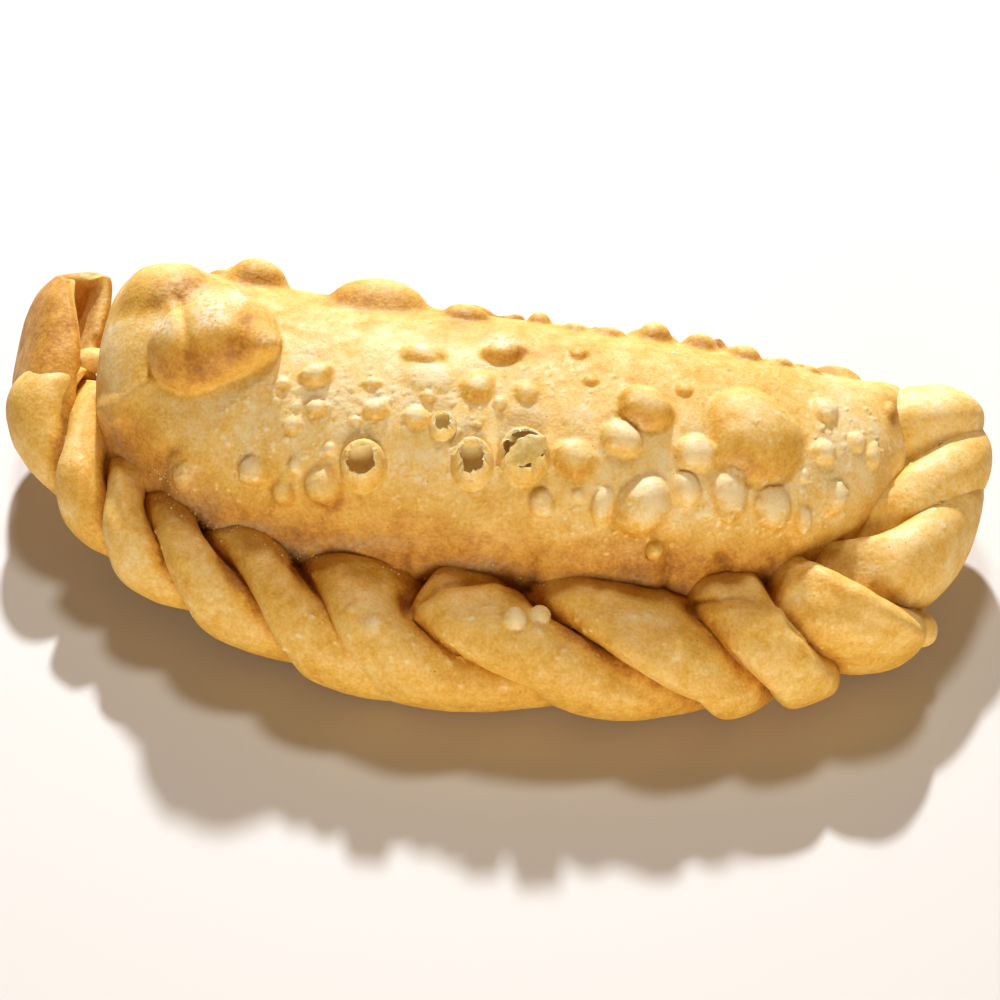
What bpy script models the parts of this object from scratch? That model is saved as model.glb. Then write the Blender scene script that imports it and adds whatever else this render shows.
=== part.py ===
"""A fried meat empanadilla, built as one solid of dough.

The pie is a half moon: a fat round belly over a straight folded back, and along the curved
front a rope of dough rolled fold over fold, from an open cornet at the left tip to a blunt
lump at the right one. All sizes are in millimetres and turned to metres at the very end.
X runs along the pie, +Y is its folded back, +Z is up, and Z = 0 is the table. The sizes are
laid out from the middle of the belly, and MIDDLE moves them to the middle of the whole pie.
"""

import bmesh
import bpy
import numpy as np

MM = 0.001
MIDDLE = (0.0, 2.8, 0.0)
WELD = 0.0002            # points closer than this are one point
SHARP_ANGLE = 0.9       # radians
CRUST_COLOUR = (0.68, 0.40, 0.13, 1.0)
CRUST_ROUGHNESS = 0.5

# The belly. Each row is one cross-section: where it stands between the left end (0) and the
# right end (1) on a half-circle scale, then its front Y, back Y, top Z and bottom Z.
BELLY_LEFT = -50.5
BELLY_RIGHT = 54.0
BELLY_SECTIONS = (
    (0.00, 18.0, 18.0, 15.0, 15.0),
    (0.10, 3.5, 28.0, 25.5, 4.5),
    (0.20, -3.5, 27.8, 30.0, 0.5),
    (0.35, -11.5, 26.0, 31.5, -1.0),
    (0.50, -13.0, 24.8, 31.5, -1.0),
    (0.65, -11.6, 24.4, 29.6, -1.0),
    (0.80, -4.0, 25.0, 24.3, 0.5),
    (0.90, 6.0, 26.0, 19.5, 4.5),
    (1.00, 18.0, 18.0, 12.0, 12.0),
)
EQUATOR = 0.48          # height of the widest line, as a share of the section's height
UNDERSIDE_DROP = 1.25   # how much fuller the underside is than a half ellipse, before it is pressed flat
BELLY_ROWS = 34
BELLY_RING = 34

# The rope: the line its middle follows, from the left tip round the front to the right tip,
# with its girth there as a share of the reaches below.
ROPE_PATH = (
    (-55.0, 27.0, 17.5, 0.72), (-56.2, 18.0, 15.0, 0.72), (-54.2, 8.5, 12.6, 0.71),
    (-47.8, -0.4, 10.5, 0.68), (-41.2, -6.8, 9.6, 0.65), (-34.6, -10.9, 9.0, 0.69),
    (-23.5, -14.9, 8.4, 0.84), (-6.0, -18.9, 8.0, 0.98), (10.7, -18.1, 8.0, 0.97),
    (28.8, -16.5, 8.0, 0.99), (39.5, -13.0, 8.0, 0.99), (47.0, -6.9, 8.5, 0.96),
    (52.6, 1.5, 9.3, 0.92), (55.4, 10.0, 11.0, 0.90), (55.3, 18.0, 13.3, 0.92),
    (53.9, 24.8, 16.1, 0.95),
)
ROPE_OUT = 6.8          # reach from its middle, away from the belly
ROPE_IN = 10.0          # reach into the belly
ROPE_UP = 6.6
ROPE_DOWN = 6.8
ROPE_SQUARE = 2.4       # 2 is a round section, more is squarer

# The folds of the rope, one crease a row: its place along the rope on the inner side, above
# and at the front; how deep it cuts on the inner side and at the front; how far the fold
# after it swells at the front; and which fold lies on top, 1 for the one after the crease,
# -1 for the one before it and 0 for neither.
ROPE_CREASES = (
    (19.9, 26.7, 30.7, 2.0, 1.2, 0.8, 1),
    (31.8, 37.0, 40.2, 2.2, 1.2, 0.8, 1),
    (41.0, 46.3, 51.2, 2.4, 1.4, 0.8, 1),
    (52.0, 58.8, 65.0, 3.0, 1.0, 0.9, 1),
    (64.2, 69.7, 75.9, 2.6, -0.6, 0.9, 1),
    (78.9, 81.4, 93.4, 3.2, 0.6, 1.0, 1),
    (94.0, 101.1, 111.4, 2.6, 1.7, 1.1, 1),
    (113.1, 115.6, 121.0, 2.2, 1.7, 1.1, 1),
    (123.4, 123.9, 127.5, 1.6, 1.2, 2.6, -1),
    (131.6, 133.6, 138.4, 1.6, 0.6, 0.2, -1),
    (138.4, 150.2, 155.4, 1.5, -0.2, 0.7, 0),
    (154.8, 159.6, 162.9, 1.7, -0.4, 0.7, 0),
)
CREASE_INNER = 120.0    # degrees round the rope at which the first of those places is taken
SHOWN_FROM = -80.0      # the side of the rope that shows, in degrees
SHOWN_TO = 150.0
FOLD_CREST = 0.9        # how far a fold's crest stands above the mean rope on the inner side
FOLD_STEEP = 0.34       # share of a fold taken by its steep left side
FOLD_LIP = 0.9          # how far that side leans over the fold before it
FOLD_ROWS = (0.0, 0.04, 0.14, 0.33, 0.58, 0.80, 0.94)   # where a fold's rows of faces are
ROPE_RING = 24

ROPE_START = 13.0       # the rolled rope starts here, inside the cornet
LEFT_END_ROUND = 6.0
RIGHT_END_ROUND = 8.0

# The cornet at the left tip, a sheet of dough folded in two and open at the top. Each row is
# one strip across it, from the top down: back edge, back leaf, fold, front leaf, front edge.
CORNET = (
    ((-52.3, 30.0, 17.5), (-54.9, 31.0, 16.5), (-57.3, 29.0, 17.5), (-57.1, 26.6, 19.5), (-55.9, 25.0, 21.0)),
    ((-51.8, 28.2, 16.5), (-56.0, 30.8, 13.0), (-60.6, 26.6, 14.5), (-57.4, 21.8, 20.0), (-53.9, 20.0, 21.0)),
    ((-51.7, 23.0, 14.5), (-56.0, 26.4, 10.0), (-61.4, 20.8, 11.5), (-56.8, 14.6, 18.6), (-51.9, 14.0, 19.4)),
    ((-52.0, 20.3, 13.0), (-55.4, 17.5, 8.5), (-60.3, 13.0, 9.0), (-56.2, 7.2, 16.2), (-51.5, 9.0, 16.4)),
    ((-51.0, 9.0, 9.0), (-52.6, 5.5, 7.4), (-54.9, 2.4, 8.0), (-53.0, -0.5, 11.0), (-50.4, 1.5, 11.5)),
)
CORNET_THICK = 2.0
CORNET_ROWS = 14
CORNET_COLUMNS = 18

# Blisters in the crust, one a row: how far along the pie, degrees up over the belly from its
# front, width, and rise above the skin. The largest show in the pie's outline.
BLISTERS = (
    (-36.5, 73, 11.0, 3.8), (-30.5, 80, 12.5, 4.6), (-25.8, 84, 5.0, 2.4), (-41.0, 108, 12.0, 1.8),
    (-30.0, 132, 8.0, 3.0), (-14.0, 130, 11.5, 3.1), (-3.0, 123, 5.5, 1.4), (6.0, 131, 3.2, 1.3),
    (20.0, 134, 5.0, 2.4), (26.0, 134, 5.0, 1.9), (31.5, 129, 4.6, 1.4), (-19.0, 76, 5.0, 1.6),
    (-11.0, 64, 3.4, 1.0), (-6.4, 63, 3.6, 1.1), (-25.4, 32, 3.8, 1.5), (-16.4, 32, 5.2, 1.9),
    (-21.3, 25, 3.4, 1.2), (-7.0, 92, 6.0, 1.3), (2.6, 98, 6.2, 2.0), (0.4, 80, 5.0, 1.7),
    (6.5, 79, 3.4, 1.2), (20.7, 80, 8.5, 2.8), (18.5, 66, 5.4, 2.0), (27.2, 64, 5.4, 2.1),
    (13.1, 56, 5.4, 1.9), (9.8, 36, 3.3, 1.4), (17.2, 38, 3.8, 1.7), (21.6, 40, 7.4, 3.2),
    (26.7, 48, 3.8, 1.6), (34.1, 80, 14.0, 3.0), (31.7, 48, 5.6, 2.4), (37.3, 42, 5.4, 2.4),
    (42.1, 95, 4.6, 1.5), (42.5, 68, 3.8, 1.4), (44.0, 44, 4.0, 1.6), (40.8, 34, 3.0, 1.3),
)
# Blisters that burst and left an open cup: the same four sizes, then the width of the hole.
BURST_BLISTERS = (
    (-11.9, 42, 5.6, 1.7, 3.6), (-2.4, 60, 3.4, 1.1, 2.0), (0.6, 47, 4.8, 1.5, 3.2), (6.9, 53, 6.4, 1.8, 4.4),
)
# Small balls of dough at the rope's foot: middle and width.
KNOBS = ((55.6, -7.6, 6.6, 2.8), (-50.6, 15.2, 17.0, 2.4))
KNOB_RING = 8
KNOB_ROWS = 6
BACK_BLISTERS = 14      # on the back, which is not seen, spread by a seeded rule
BACK_SEED = 7
BLISTER_RING = 10       # sides of a large blister, from this width on
BLISTER_LARGE = 4.2
BLISTER_RING_SMALL = 8
BLISTER_SINK = 1.2      # depth of a blister's middle under the skin, as a share of its rise
BLISTER_ROOT = 1.2      # how deep a blister reaches into the belly
CUP_ROOT = 1.5          # how deep a burst blister reaches into the belly
CUP_FLOOR = 0.25        # height of its floor, and width of its rim's slope


def smooth_between(x, knots, values):
    """Cubic through the knots with the slopes of their neighbours, for an array x."""
    knots, values = np.asarray(knots, float), np.asarray(values, float)
    if values.ndim == 1:
        return smooth_between(x, knots, values[:, None])[..., 0]
    slopes = np.gradient(values, knots, axis=0)
    slopes[0] = (values[1] - values[0]) / (knots[1] - knots[0])
    slopes[-1] = (values[-1] - values[-2]) / (knots[-1] - knots[-2])
    k = np.clip(np.searchsorted(knots, x, side="right") - 1, 0, len(knots) - 2)
    span = (knots[k + 1] - knots[k])
    t = ((x - knots[k]) / span)[..., None]
    span = span[..., None]
    return ((2 * t**3 - 3 * t**2 + 1) * values[k] + (t**3 - 2 * t**2 + t) * span * slopes[k]
            + (3 * t**2 - 2 * t**3) * values[k + 1] + (t**3 - t**2) * span * slopes[k + 1])


def belly_point(place, angle):
    """Skin of the belly: place 0 to 1 along it, angle 0 at the front, pi / 2 on top."""
    rows = np.array(BELLY_SECTIONS)
    front, back, top, bottom = np.moveaxis(smooth_between(place, rows[:, 0], rows[:, 1:]), -1, 0)
    x = BELLY_LEFT + (BELLY_RIGHT - BELLY_LEFT) * (1 - np.cos(np.pi * place)) / 2
    y = (front + back) / 2 - (back - front) / 2 * np.cos(angle)
    middle = bottom + (top - bottom) * EQUATOR
    rise = np.where(np.sin(angle) > 0, top - middle, (middle - bottom) * UNDERSIDE_DROP)
    z = np.maximum(middle + rise * np.sin(angle), np.maximum(bottom, 0.0))
    return np.stack([x, y, z], axis=-1)


def rope_line(count=900):
    """The rope's middle and girth at closely spaced places, with their distance along it."""
    path = np.array(ROPE_PATH)
    knots = np.r_[0, np.cumsum(np.linalg.norm(np.diff(path[:, :3], axis=0), axis=1))]
    points = smooth_between(np.linspace(0, knots[-1], count), knots, path)
    along = np.r_[0, np.cumsum(np.linalg.norm(np.diff(points[:, :3], axis=0), axis=1))]
    return points, along


def crease_place(inner, above, front, angle):
    """Distance along the rope of a crease, at an angle round it: a parabola through its three
    places on the side that shows, which runs back smoothly inside the belly."""
    def shown(degrees):
        q = (CREASE_INNER - degrees) / CREASE_INNER
        r = np.minimum(q, 1)
        curve = inner * (1 - r) * (1 - 2 * r) + 4 * above * r * (1 - r) + front * r * (2 * r - 1)
        return curve + (q - r) * (front - above)

    degrees = np.degrees(angle)
    hidden = np.clip((degrees - SHOWN_TO) / (360 + SHOWN_FROM - SHOWN_TO), 0, 1)
    weight = hidden**2 * (3 - 2 * hidden)
    return shown(np.minimum(degrees, SHOWN_TO)) * (1 - weight) + shown(SHOWN_FROM) * weight


def fold_skin(fold, angle, length):
    """Place along the rope and height of its relief, fold 0 to the number of folds.

    Between two creases the skin stands at the fold's crest and sinks to both creases: in a
    steep quarter round, leaning out by the lip, where this fold lies on top of its
    neighbour, and in a long slow curve where it dives under it."""
    first = (ROPE_START,) * 3 + (-FOLD_CREST, -FOLD_CREST, FOLD_CREST, 0)
    last = (length,) * 3 + (-FOLD_CREST, -FOLD_CREST, FOLD_CREST, 0)
    rows = np.array([first, *ROPE_CREASES, last])
    k = np.clip(fold.astype(int), 0, len(rows) - 2)
    t = fold - k
    degrees = np.degrees(angle)
    weight = np.clip((CREASE_INNER - degrees) / CREASE_INNER, 0, 1)
    crest = FOLD_CREST * (1 - weight) + rows[k, 5] * weight

    def sink(row, reach, on_top):
        inner, above, front, deep, deep_front = np.moveaxis(row[..., :5], -1, 0)
        deep = deep * (1 - weight) + deep_front * weight
        steep = 1 - np.sqrt(1 - np.clip(1 - reach / FOLD_STEEP, 0, 1)**2)
        slow = np.clip(1 - reach / (1 - FOLD_STEEP), 0, 1)**2
        lean = np.sin(np.pi * np.clip(reach / (2 * FOLD_STEEP), 0, 1))**2
        lip = FOLD_LIP * np.clip(deep / 2, 0, 1) * np.where(on_top, lean, 0)
        return crease_place(inner, above, front, angle), (crest + deep) * np.where(on_top, steep, slow), lip

    start, sink_left, lip_left = sink(rows[k], t, rows[k, 6] > 0)
    end, sink_right, lip_right = sink(rows[k + 1], 1 - t, rows[k + 1, 6] < 0)
    seen = np.clip((degrees + 100) / 30, 0, 1) * np.clip((190 - degrees) / 30, 0, 1)
    s = start + (end - start) * t + seen * (lip_right - lip_left)
    return s, (crest - sink_left - sink_right) * seen


def rope_skin(s, angle, relief):
    """Point on the rope's skin: distance s along it, angle 0 outwards and pi / 2 up."""
    line, along = rope_line()
    length = along[-1]
    s = np.clip(s, 0, length)

    def at(place, column):
        return np.interp(np.clip(place, 0, length), along, line[:, column])

    middle = np.stack([at(s, i) for i in range(3)], axis=-1)
    forward = np.stack([at(s + 0.5, i) - at(s - 0.5, i) for i in range(3)], axis=-1)
    forward /= np.linalg.norm(forward, axis=-1, keepdims=True)
    out = np.stack([forward[..., 1], -forward[..., 0], np.zeros_like(s)], axis=-1)
    out /= np.linalg.norm(out, axis=-1, keepdims=True)
    up = np.cross(out, forward)
    wide = np.where(np.cos(angle) > 0, ROPE_OUT, ROPE_IN)
    tall = np.where(np.sin(angle) > 0, ROPE_UP, ROPE_DOWN)
    reach = (np.abs(np.cos(angle) / wide)**ROPE_SQUARE
             + np.abs(np.sin(angle) / tall)**ROPE_SQUARE)**(-1 / ROPE_SQUARE)
    left = np.clip((s - ROPE_START) / LEFT_END_ROUND, 0, 1)
    right = np.clip((length - s) / RIGHT_END_ROUND, 0, 1)
    close = np.sqrt(1 - (1 - left)**2) * np.sqrt(1 - (1 - right)**2)
    radius = (reach * at(s, 3) + relief) * close
    skin = middle + radius[..., None] * (np.cos(angle)[..., None] * out + np.sin(angle)[..., None] * up)
    skin[..., 2] = np.maximum(skin[..., 2], 0.0)
    return skin


def rope_point(fold, angle):
    """Skin of the folded rope: fold 0 to the number of folds, angle 0 outwards and pi / 2 up."""
    length = rope_line()[1][-1]
    s, relief = fold_skin(fold, angle, length)
    return rope_skin(s, angle, relief)


def new_piece(name, points, faces):
    mesh = bpy.data.meshes.new(name)
    mesh.from_pydata(((points - np.array(MIDDLE)) * MM).tolist(), [], faces)
    mesh.update()
    piece = bpy.data.objects.new(name, mesh)
    bpy.context.scene.collection.objects.link(piece)
    return piece


def closed_grid(name, grid):
    """A piece from a grid of points: rows along it, columns round it, a pole at each end."""
    rows, ring = grid.shape[:2]
    points = np.vstack([grid[:1].mean(axis=1), grid[1:-1].reshape(-1, 3), grid[-1:].mean(axis=1)])
    first = 1 + np.arange(rows - 3)[:, None] * ring + np.arange(ring)[None]
    after = 1 + np.arange(rows - 3)[:, None] * ring + (np.arange(ring)[None] + 1) % ring
    quads = np.stack([first, after, after + ring, first + ring], axis=-1).reshape(-1, 4)
    last = len(points) - 1
    tail = 1 + (rows - 3) * ring
    ends = [(0, 1 + (i + 1) % ring, 1 + i) for i in range(ring)]
    ends += [(last, tail + i, tail + (i + 1) % ring) for i in range(ring)]
    return new_piece(name, points, quads.tolist() + ends)


def closed_sheet(name, outer, inner):
    """A piece from the two faces of a sheet, each a grid of points, joined along their rims."""
    rows, columns = outer.shape[:2]
    number = np.arange(rows * columns).reshape(rows, columns)
    under = number + rows * columns
    rim = np.r_[number[0], number[1:, -1], number[-1, -2::-1], number[-2:0:-1, 0]]
    low = rim + rows * columns
    faces = np.concatenate([
        np.stack([number[:-1, :-1], number[:-1, 1:], number[1:, 1:], number[1:, :-1]], -1).reshape(-1, 4),
        np.stack([under[:-1, :-1], under[1:, :-1], under[1:, 1:], under[:-1, 1:]], -1).reshape(-1, 4),
        np.stack([rim, low, np.roll(low, -1), np.roll(rim, -1)], -1),
    ])
    return new_piece(name, np.vstack([outer.reshape(-1, 3), inner.reshape(-1, 3)]), faces.tolist())


def make_belly():
    place = np.linspace(0, 1, BELLY_ROWS)[:, None]
    angle = np.linspace(0, 2 * np.pi, BELLY_RING, endpoint=False)[None]
    place, angle = np.broadcast_arrays(place, angle)
    return closed_grid("belly", belly_point(place, angle))


def make_rope():
    """The rope's grid: its rows crowd where a fold is steep, at the creases."""
    folds = len(ROPE_CREASES) + 1
    rows = np.array(FOLD_ROWS)
    fold = np.r_[(np.arange(folds)[:, None] + rows[None]).ravel(), folds - 1e-9][:, None]
    angle = np.radians(np.linspace(-90, 270, ROPE_RING, endpoint=False))[None]
    fold, angle = np.broadcast_arrays(fold, angle)
    return closed_grid("rope", rope_point(fold, angle))


def make_cornet():
    """The folded sheet: a smooth surface through the net, thickened less inside the fold."""
    def spread(rows, count):
        places = np.linspace(0, 1, len(rows))
        return smooth_between(np.linspace(0, 1, count), places, rows.reshape(len(rows), -1))

    net = np.array(CORNET)
    down = spread(net, CORNET_ROWS).reshape(CORNET_ROWS, -1, 3).transpose(1, 0, 2)
    sheet = spread(down, CORNET_COLUMNS).reshape(CORNET_COLUMNS, CORNET_ROWS, 3)
    normal = np.cross(np.gradient(sheet, axis=1), np.gradient(sheet, axis=0))
    normal /= np.linalg.norm(normal, axis=-1, keepdims=True)
    width = np.linspace(-1, 1, CORNET_COLUMNS)[:, None, None]
    rounded = np.minimum(1, np.cos(width * np.pi / 2) * 3 + 0.35)
    in_fold = np.exp(-(width / 0.35)**2)
    outer = sheet + normal * CORNET_THICK / 2 * rounded
    inner = sheet - normal * CORNET_THICK / 2 * rounded * (1 - 0.7 * in_fold)
    return closed_sheet("cornet", outer, inner)


def belly_frame(x, degrees):
    """A point on the belly's skin with its outward normal and two directions along the skin."""
    place = np.arccos(1 - 2 * (x - BELLY_LEFT) / (BELLY_RIGHT - BELLY_LEFT)) / np.pi
    angle = np.radians(float(degrees))
    step = 0.01
    point = belly_point(np.array([place]), np.array([angle]))[0]
    along = belly_point(np.array([place + step]), np.array([angle]))[0] - point
    over = belly_point(np.array([place]), np.array([angle + step]))[0] - point
    along /= np.linalg.norm(along)
    normal = np.cross(along, over)
    normal /= np.linalg.norm(normal)
    return point, normal, along, np.cross(normal, along)


def turned_cap(name, x, degrees, profile, ring=BLISTER_RING):
    """A closed piece turned round the belly's normal: profile is pairs of radius and height."""
    point, normal, along, over = belly_frame(x, degrees)
    turn = np.linspace(0, 2 * np.pi, ring, endpoint=False)
    spokes = np.cos(turn)[:, None] * along + np.sin(turn)[:, None] * over
    grid = np.array([point + r * spokes + h * normal for r, h in profile])
    return closed_grid(name, grid)


def make_blister(x, degrees, width, rise):
    """An ellipsoid of dough that cuts the skin in a circle of the blister's width."""
    sink = BLISTER_SINK * rise
    tall = rise + sink
    wide = width / 2 / np.sqrt(1 - (sink / tall)**2)
    root = np.arcsin((sink - BLISTER_ROOT) / tall)
    large = width >= BLISTER_LARGE
    steps = np.linspace(root, np.pi / 2, 5 if large else 4)
    profile = [(wide * np.cos(a), tall * np.sin(a) - sink) for a in steps]
    ring = BLISTER_RING if large else BLISTER_RING_SMALL
    return turned_cap("blister", x, degrees, [(0.0, -BLISTER_ROOT), *profile], ring)


def make_burst_blister(x, degrees, width, rise, hole):
    """A cup: a ring of crust with a rim, round a floor just above the skin."""
    profile = ((0.0, -CUP_ROOT), (width * 0.45, -CUP_ROOT), (width / 2, 0.2), (width * 0.46, rise * 0.7),
               (hole / 2 + CUP_FLOOR, rise), (hole / 2, rise * 0.85), (hole / 2, CUP_FLOOR), (0.0, CUP_FLOOR))
    return turned_cap("burst_blister", x, degrees, profile)


def make_blisters():
    pieces = [make_blister(*row) for row in BLISTERS]
    pieces += [make_burst_blister(*row) for row in BURST_BLISTERS]
    draw = np.random.default_rng(BACK_SEED)
    for x in np.linspace(-38, 38, BACK_BLISTERS):
        width = draw.uniform(3.0, 7.5)
        pieces.append(make_blister(x + draw.uniform(-2, 2), draw.uniform(150, 200), width, width * 0.3))
    return pieces


def make_knob(x, y, z, width):
    turn = np.linspace(0, 2 * np.pi, KNOB_RING, endpoint=False)
    tilt = np.linspace(-np.pi / 2, np.pi / 2, KNOB_ROWS)[:, None]
    ball = np.stack(np.broadcast_arrays(np.cos(tilt) * np.cos(turn), np.cos(tilt) * np.sin(turn),
                                        np.sin(tilt)), axis=-1)
    return closed_grid("knob", np.array((x, y, z)) + ball * width / 2)


def fuse(core, pieces):
    """Joins the pieces to the core by one union on a collection, and removes them."""
    group = bpy.data.collections.new("dough")
    bpy.context.scene.collection.children.link(group)
    for piece in pieces:
        group.objects.link(piece)
    union = core.modifiers.new("union", "BOOLEAN")
    union.operation = "UNION"
    union.operand_type = "COLLECTION"
    union.collection = group
    union.solver = "EXACT"
    whole = bpy.data.meshes.new_from_object(core.evaluated_get(bpy.context.evaluated_depsgraph_get()))
    core.modifiers.clear()
    core.data = whole
    for piece in pieces:
        bpy.data.objects.remove(piece, do_unlink=True)
    bpy.data.collections.remove(group)


def keep_outer_skin(piece):
    """Fills hollows that the union sealed and drops loose scraps: only the largest skin stays."""
    shape = bmesh.new()
    shape.from_mesh(piece.data)
    bmesh.ops.remove_doubles(shape, verts=shape.verts, dist=WELD * MM)
    bmesh.ops.triangulate(shape, faces=shape.faces)
    groups, left = [], set(shape.faces)
    while left:
        group, queue = set(), [left.pop()]
        while queue:
            face = queue.pop()
            group.add(face)
            for edge in face.edges:
                for other in edge.link_faces:
                    if other in left:
                        left.remove(other)
                        queue.append(other)
        groups.append(group)
    groups.sort(key=len, reverse=True)
    scraps = [face for group in groups[1:] for face in group]
    bmesh.ops.delete(shape, geom=scraps, context="FACES")
    loose = [vert for vert in shape.verts if not vert.link_faces]
    bmesh.ops.delete(shape, geom=loose, context="VERTS")
    shape.to_mesh(piece.data)
    shape.free()


def fried_dough():
    """Golden fried wheat crust, faintly oily."""
    material = bpy.data.materials.new("fried_dough")
    material.use_nodes = True
    shader = material.node_tree.nodes["Principled BSDF"]
    shader.inputs["Base Color"].default_value = CRUST_COLOUR
    shader.inputs["Roughness"].default_value = CRUST_ROUGHNESS
    shader.inputs["Metallic"].default_value = 0.0
    return material


def main():
    for thing in list(bpy.data.objects):
        bpy.data.objects.remove(thing, do_unlink=True)
    pie = make_belly()
    pie.name = pie.data.name = "empanadilla"
    knobs = [make_knob(*row) for row in KNOBS]
    fuse(pie, [make_rope(), make_cornet(), *make_blisters(), *knobs])
    keep_outer_skin(pie)
    pie.data.materials.clear()
    pie.data.materials.append(fried_dough())
    pie.data.shade_smooth()
    pie.data.set_sharp_from_angle(angle=SHARP_ANGLE)


main()
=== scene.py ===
# %% [markdown]
# # A fried meat empanadilla
#
# A turnover like this one starts as a round of wheat dough. It is folded over a spoonful of
# meat, its curved edge is rolled fold over fold into a rope, and hot oil then blisters the skin.
# This lesson dresses the plain solid of the pie with that skin: blisters of all sizes, burst
# ones, plump folds, toasted spots and a little flour. All lengths are millimetres in the frame
# of the solid, where X runs along the pie, +Y is its straight back and Z = 0 is the floor.

import bpy
import numpy as np
from mathutils import Matrix, Vector


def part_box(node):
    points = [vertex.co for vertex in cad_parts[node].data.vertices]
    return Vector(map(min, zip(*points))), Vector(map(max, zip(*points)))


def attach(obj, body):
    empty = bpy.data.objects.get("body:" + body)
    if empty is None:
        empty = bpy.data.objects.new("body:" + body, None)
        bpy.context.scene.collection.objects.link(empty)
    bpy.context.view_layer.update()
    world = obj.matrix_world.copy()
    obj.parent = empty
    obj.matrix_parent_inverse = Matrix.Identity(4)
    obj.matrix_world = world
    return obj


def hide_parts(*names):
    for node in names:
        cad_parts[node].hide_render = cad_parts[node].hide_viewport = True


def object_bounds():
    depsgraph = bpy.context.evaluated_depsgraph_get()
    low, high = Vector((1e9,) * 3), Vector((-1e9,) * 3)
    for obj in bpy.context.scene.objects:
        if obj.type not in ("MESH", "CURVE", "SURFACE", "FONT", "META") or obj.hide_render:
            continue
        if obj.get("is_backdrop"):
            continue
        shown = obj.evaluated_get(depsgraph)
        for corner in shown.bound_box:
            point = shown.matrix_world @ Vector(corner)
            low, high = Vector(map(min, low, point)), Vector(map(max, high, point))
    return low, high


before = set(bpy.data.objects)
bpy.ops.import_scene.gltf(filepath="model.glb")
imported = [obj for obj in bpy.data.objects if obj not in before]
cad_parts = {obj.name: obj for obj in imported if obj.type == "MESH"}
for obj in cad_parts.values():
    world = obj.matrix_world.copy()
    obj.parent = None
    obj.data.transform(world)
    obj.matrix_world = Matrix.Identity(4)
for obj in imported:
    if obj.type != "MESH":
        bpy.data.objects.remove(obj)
CAD_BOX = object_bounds()
MM = 0.001
low, high = (np.array(corner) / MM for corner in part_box("empanadilla"))
print("the solid measures", (high - low).round(1), "mm")

# %% [markdown]
# ## The camera
#
# The photo looks down on the pie from the front with a long lens, so its lines hardly converge.
# A few known lengths of the pie fix the camera. The same numbers also turn any point of the
# pie into a pixel, and that is how the blisters find their places later on.

# %% Stand the camera where the photo was taken
CAMERA_AZIMUTH = 8.0        # degrees to the right of straight in front
CAMERA_ELEVATION = 45.0
CAMERA_DISTANCE = 395.0
CAMERA_AIM = np.array((3.3, -0.9, 12.0))
FILM_WIDTH = 36.0
FOCAL_LENGTH = 115.2
PHOTO_SIDE = 1000
CLOSEST, FARTHEST = 0.01, 20.0      # metres from the camera within which things are drawn


def towards(azimuth, elevation):
    """Unit vector from the pie to a place so many degrees round it from the front and up."""
    turn, tilt = np.radians((azimuth, elevation))
    return np.array((np.sin(turn) * np.cos(tilt), -np.cos(turn) * np.cos(tilt), np.sin(tilt)))


turn = np.radians(CAMERA_AZIMUTH)
BACKWARD = towards(CAMERA_AZIMUTH, CAMERA_ELEVATION)
RIGHTWARD = np.array((np.cos(turn), np.sin(turn), 0.0))
UPWARD = np.cross(BACKWARD, RIGHTWARD)
EYE = CAMERA_AIM + BACKWARD * CAMERA_DISTANCE
FOCAL_PIXELS = FOCAL_LENGTH / FILM_WIDTH * PHOTO_SIDE

camera = bpy.data.objects.new("camera", bpy.data.cameras.new("camera"))
camera.data.lens = FOCAL_LENGTH
camera.data.sensor_width = FILM_WIDTH
camera.data.clip_start = CLOSEST
camera.data.clip_end = FARTHEST
axes = Matrix([Vector(axis) for axis in (RIGHTWARD, UPWARD, BACKWARD)]).transposed()
camera.matrix_world = Matrix.Translation(Vector(EYE) * MM) @ axes.to_4x4()
bpy.context.scene.collection.objects.link(camera)
bpy.context.scene.camera = camera


def in_photo(points):
    """Pixel of each point: its offsets across the line of sight, divided by its depth along
    that line and multiplied by the focal length in pixels."""
    offset = points - EYE
    scale = FOCAL_PIXELS / -(offset @ BACKWARD)
    return np.stack([PHOTO_SIDE / 2 + offset @ RIGHTWARD * scale,
                     PHOTO_SIDE / 2 - offset @ UPWARD * scale], axis=-1)


def pixel_size(point):
    """Millimetres that a pixel covers at a point: its distance over the focal length in pixels."""
    return np.linalg.norm(EYE - point) / FOCAL_PIXELS


def seen_length(direction):
    """Length of a unit vector in the picture: what it keeps without its part along the view."""
    return np.linalg.norm(direction - (direction @ BACKWARD) * BACKWARD)


print("the camera stands", CAMERA_DISTANCE, "mm away")

# %% [markdown]
# ## Light and floor
#
# Food is often lit from behind, because that light slides over the crust and shows every bump.
# Here a low lamp behind the pie draws the long soft shadow and the bright crown, a higher one
# behind it lightens that shadow, and a weak one in front keeps the rope readable. Light that has
# met golden dough comes back golden, so the sky that fills the shadows is warm. The floor is
# plain and almost white.

# %% Lay the floor and hang the lamps
FLOOR_COLOUR = "DEDCDA"
FLOOR_HALF = 3000.0
FLOOR_ROUGHNESS = 0.6
SKY_COLOUR = "FFC684"
SKY_STRENGTH = 0.165
# degrees round the pie from straight in front, degrees up, distance, width, watts and colour
LAMPS = {
    "low_back_lamp": (190, 36.5, 1500, 80, 29, "F8FAFF"),
    "high_back_lamp": (188, 59, 1500, 260, 7.8, "FFFBF4"),
    "front_lamp": (12, 7, 800, 350, 4.6, "FFF4DA"),
}


def linear(hex_colour):
    """Linear colour of an sRGB hex value: each channel c becomes ((c + 0.055) / 1.055) to the
    power 2.4, or c / 12.92 where it is very dark."""
    c = np.array([int(hex_colour[i:i + 2], 16) for i in (0, 2, 4)]) / 255
    return (*np.where(c > 0.04045, ((c + 0.055) / 1.055)**2.4, c / 12.92), 1.0)


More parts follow.
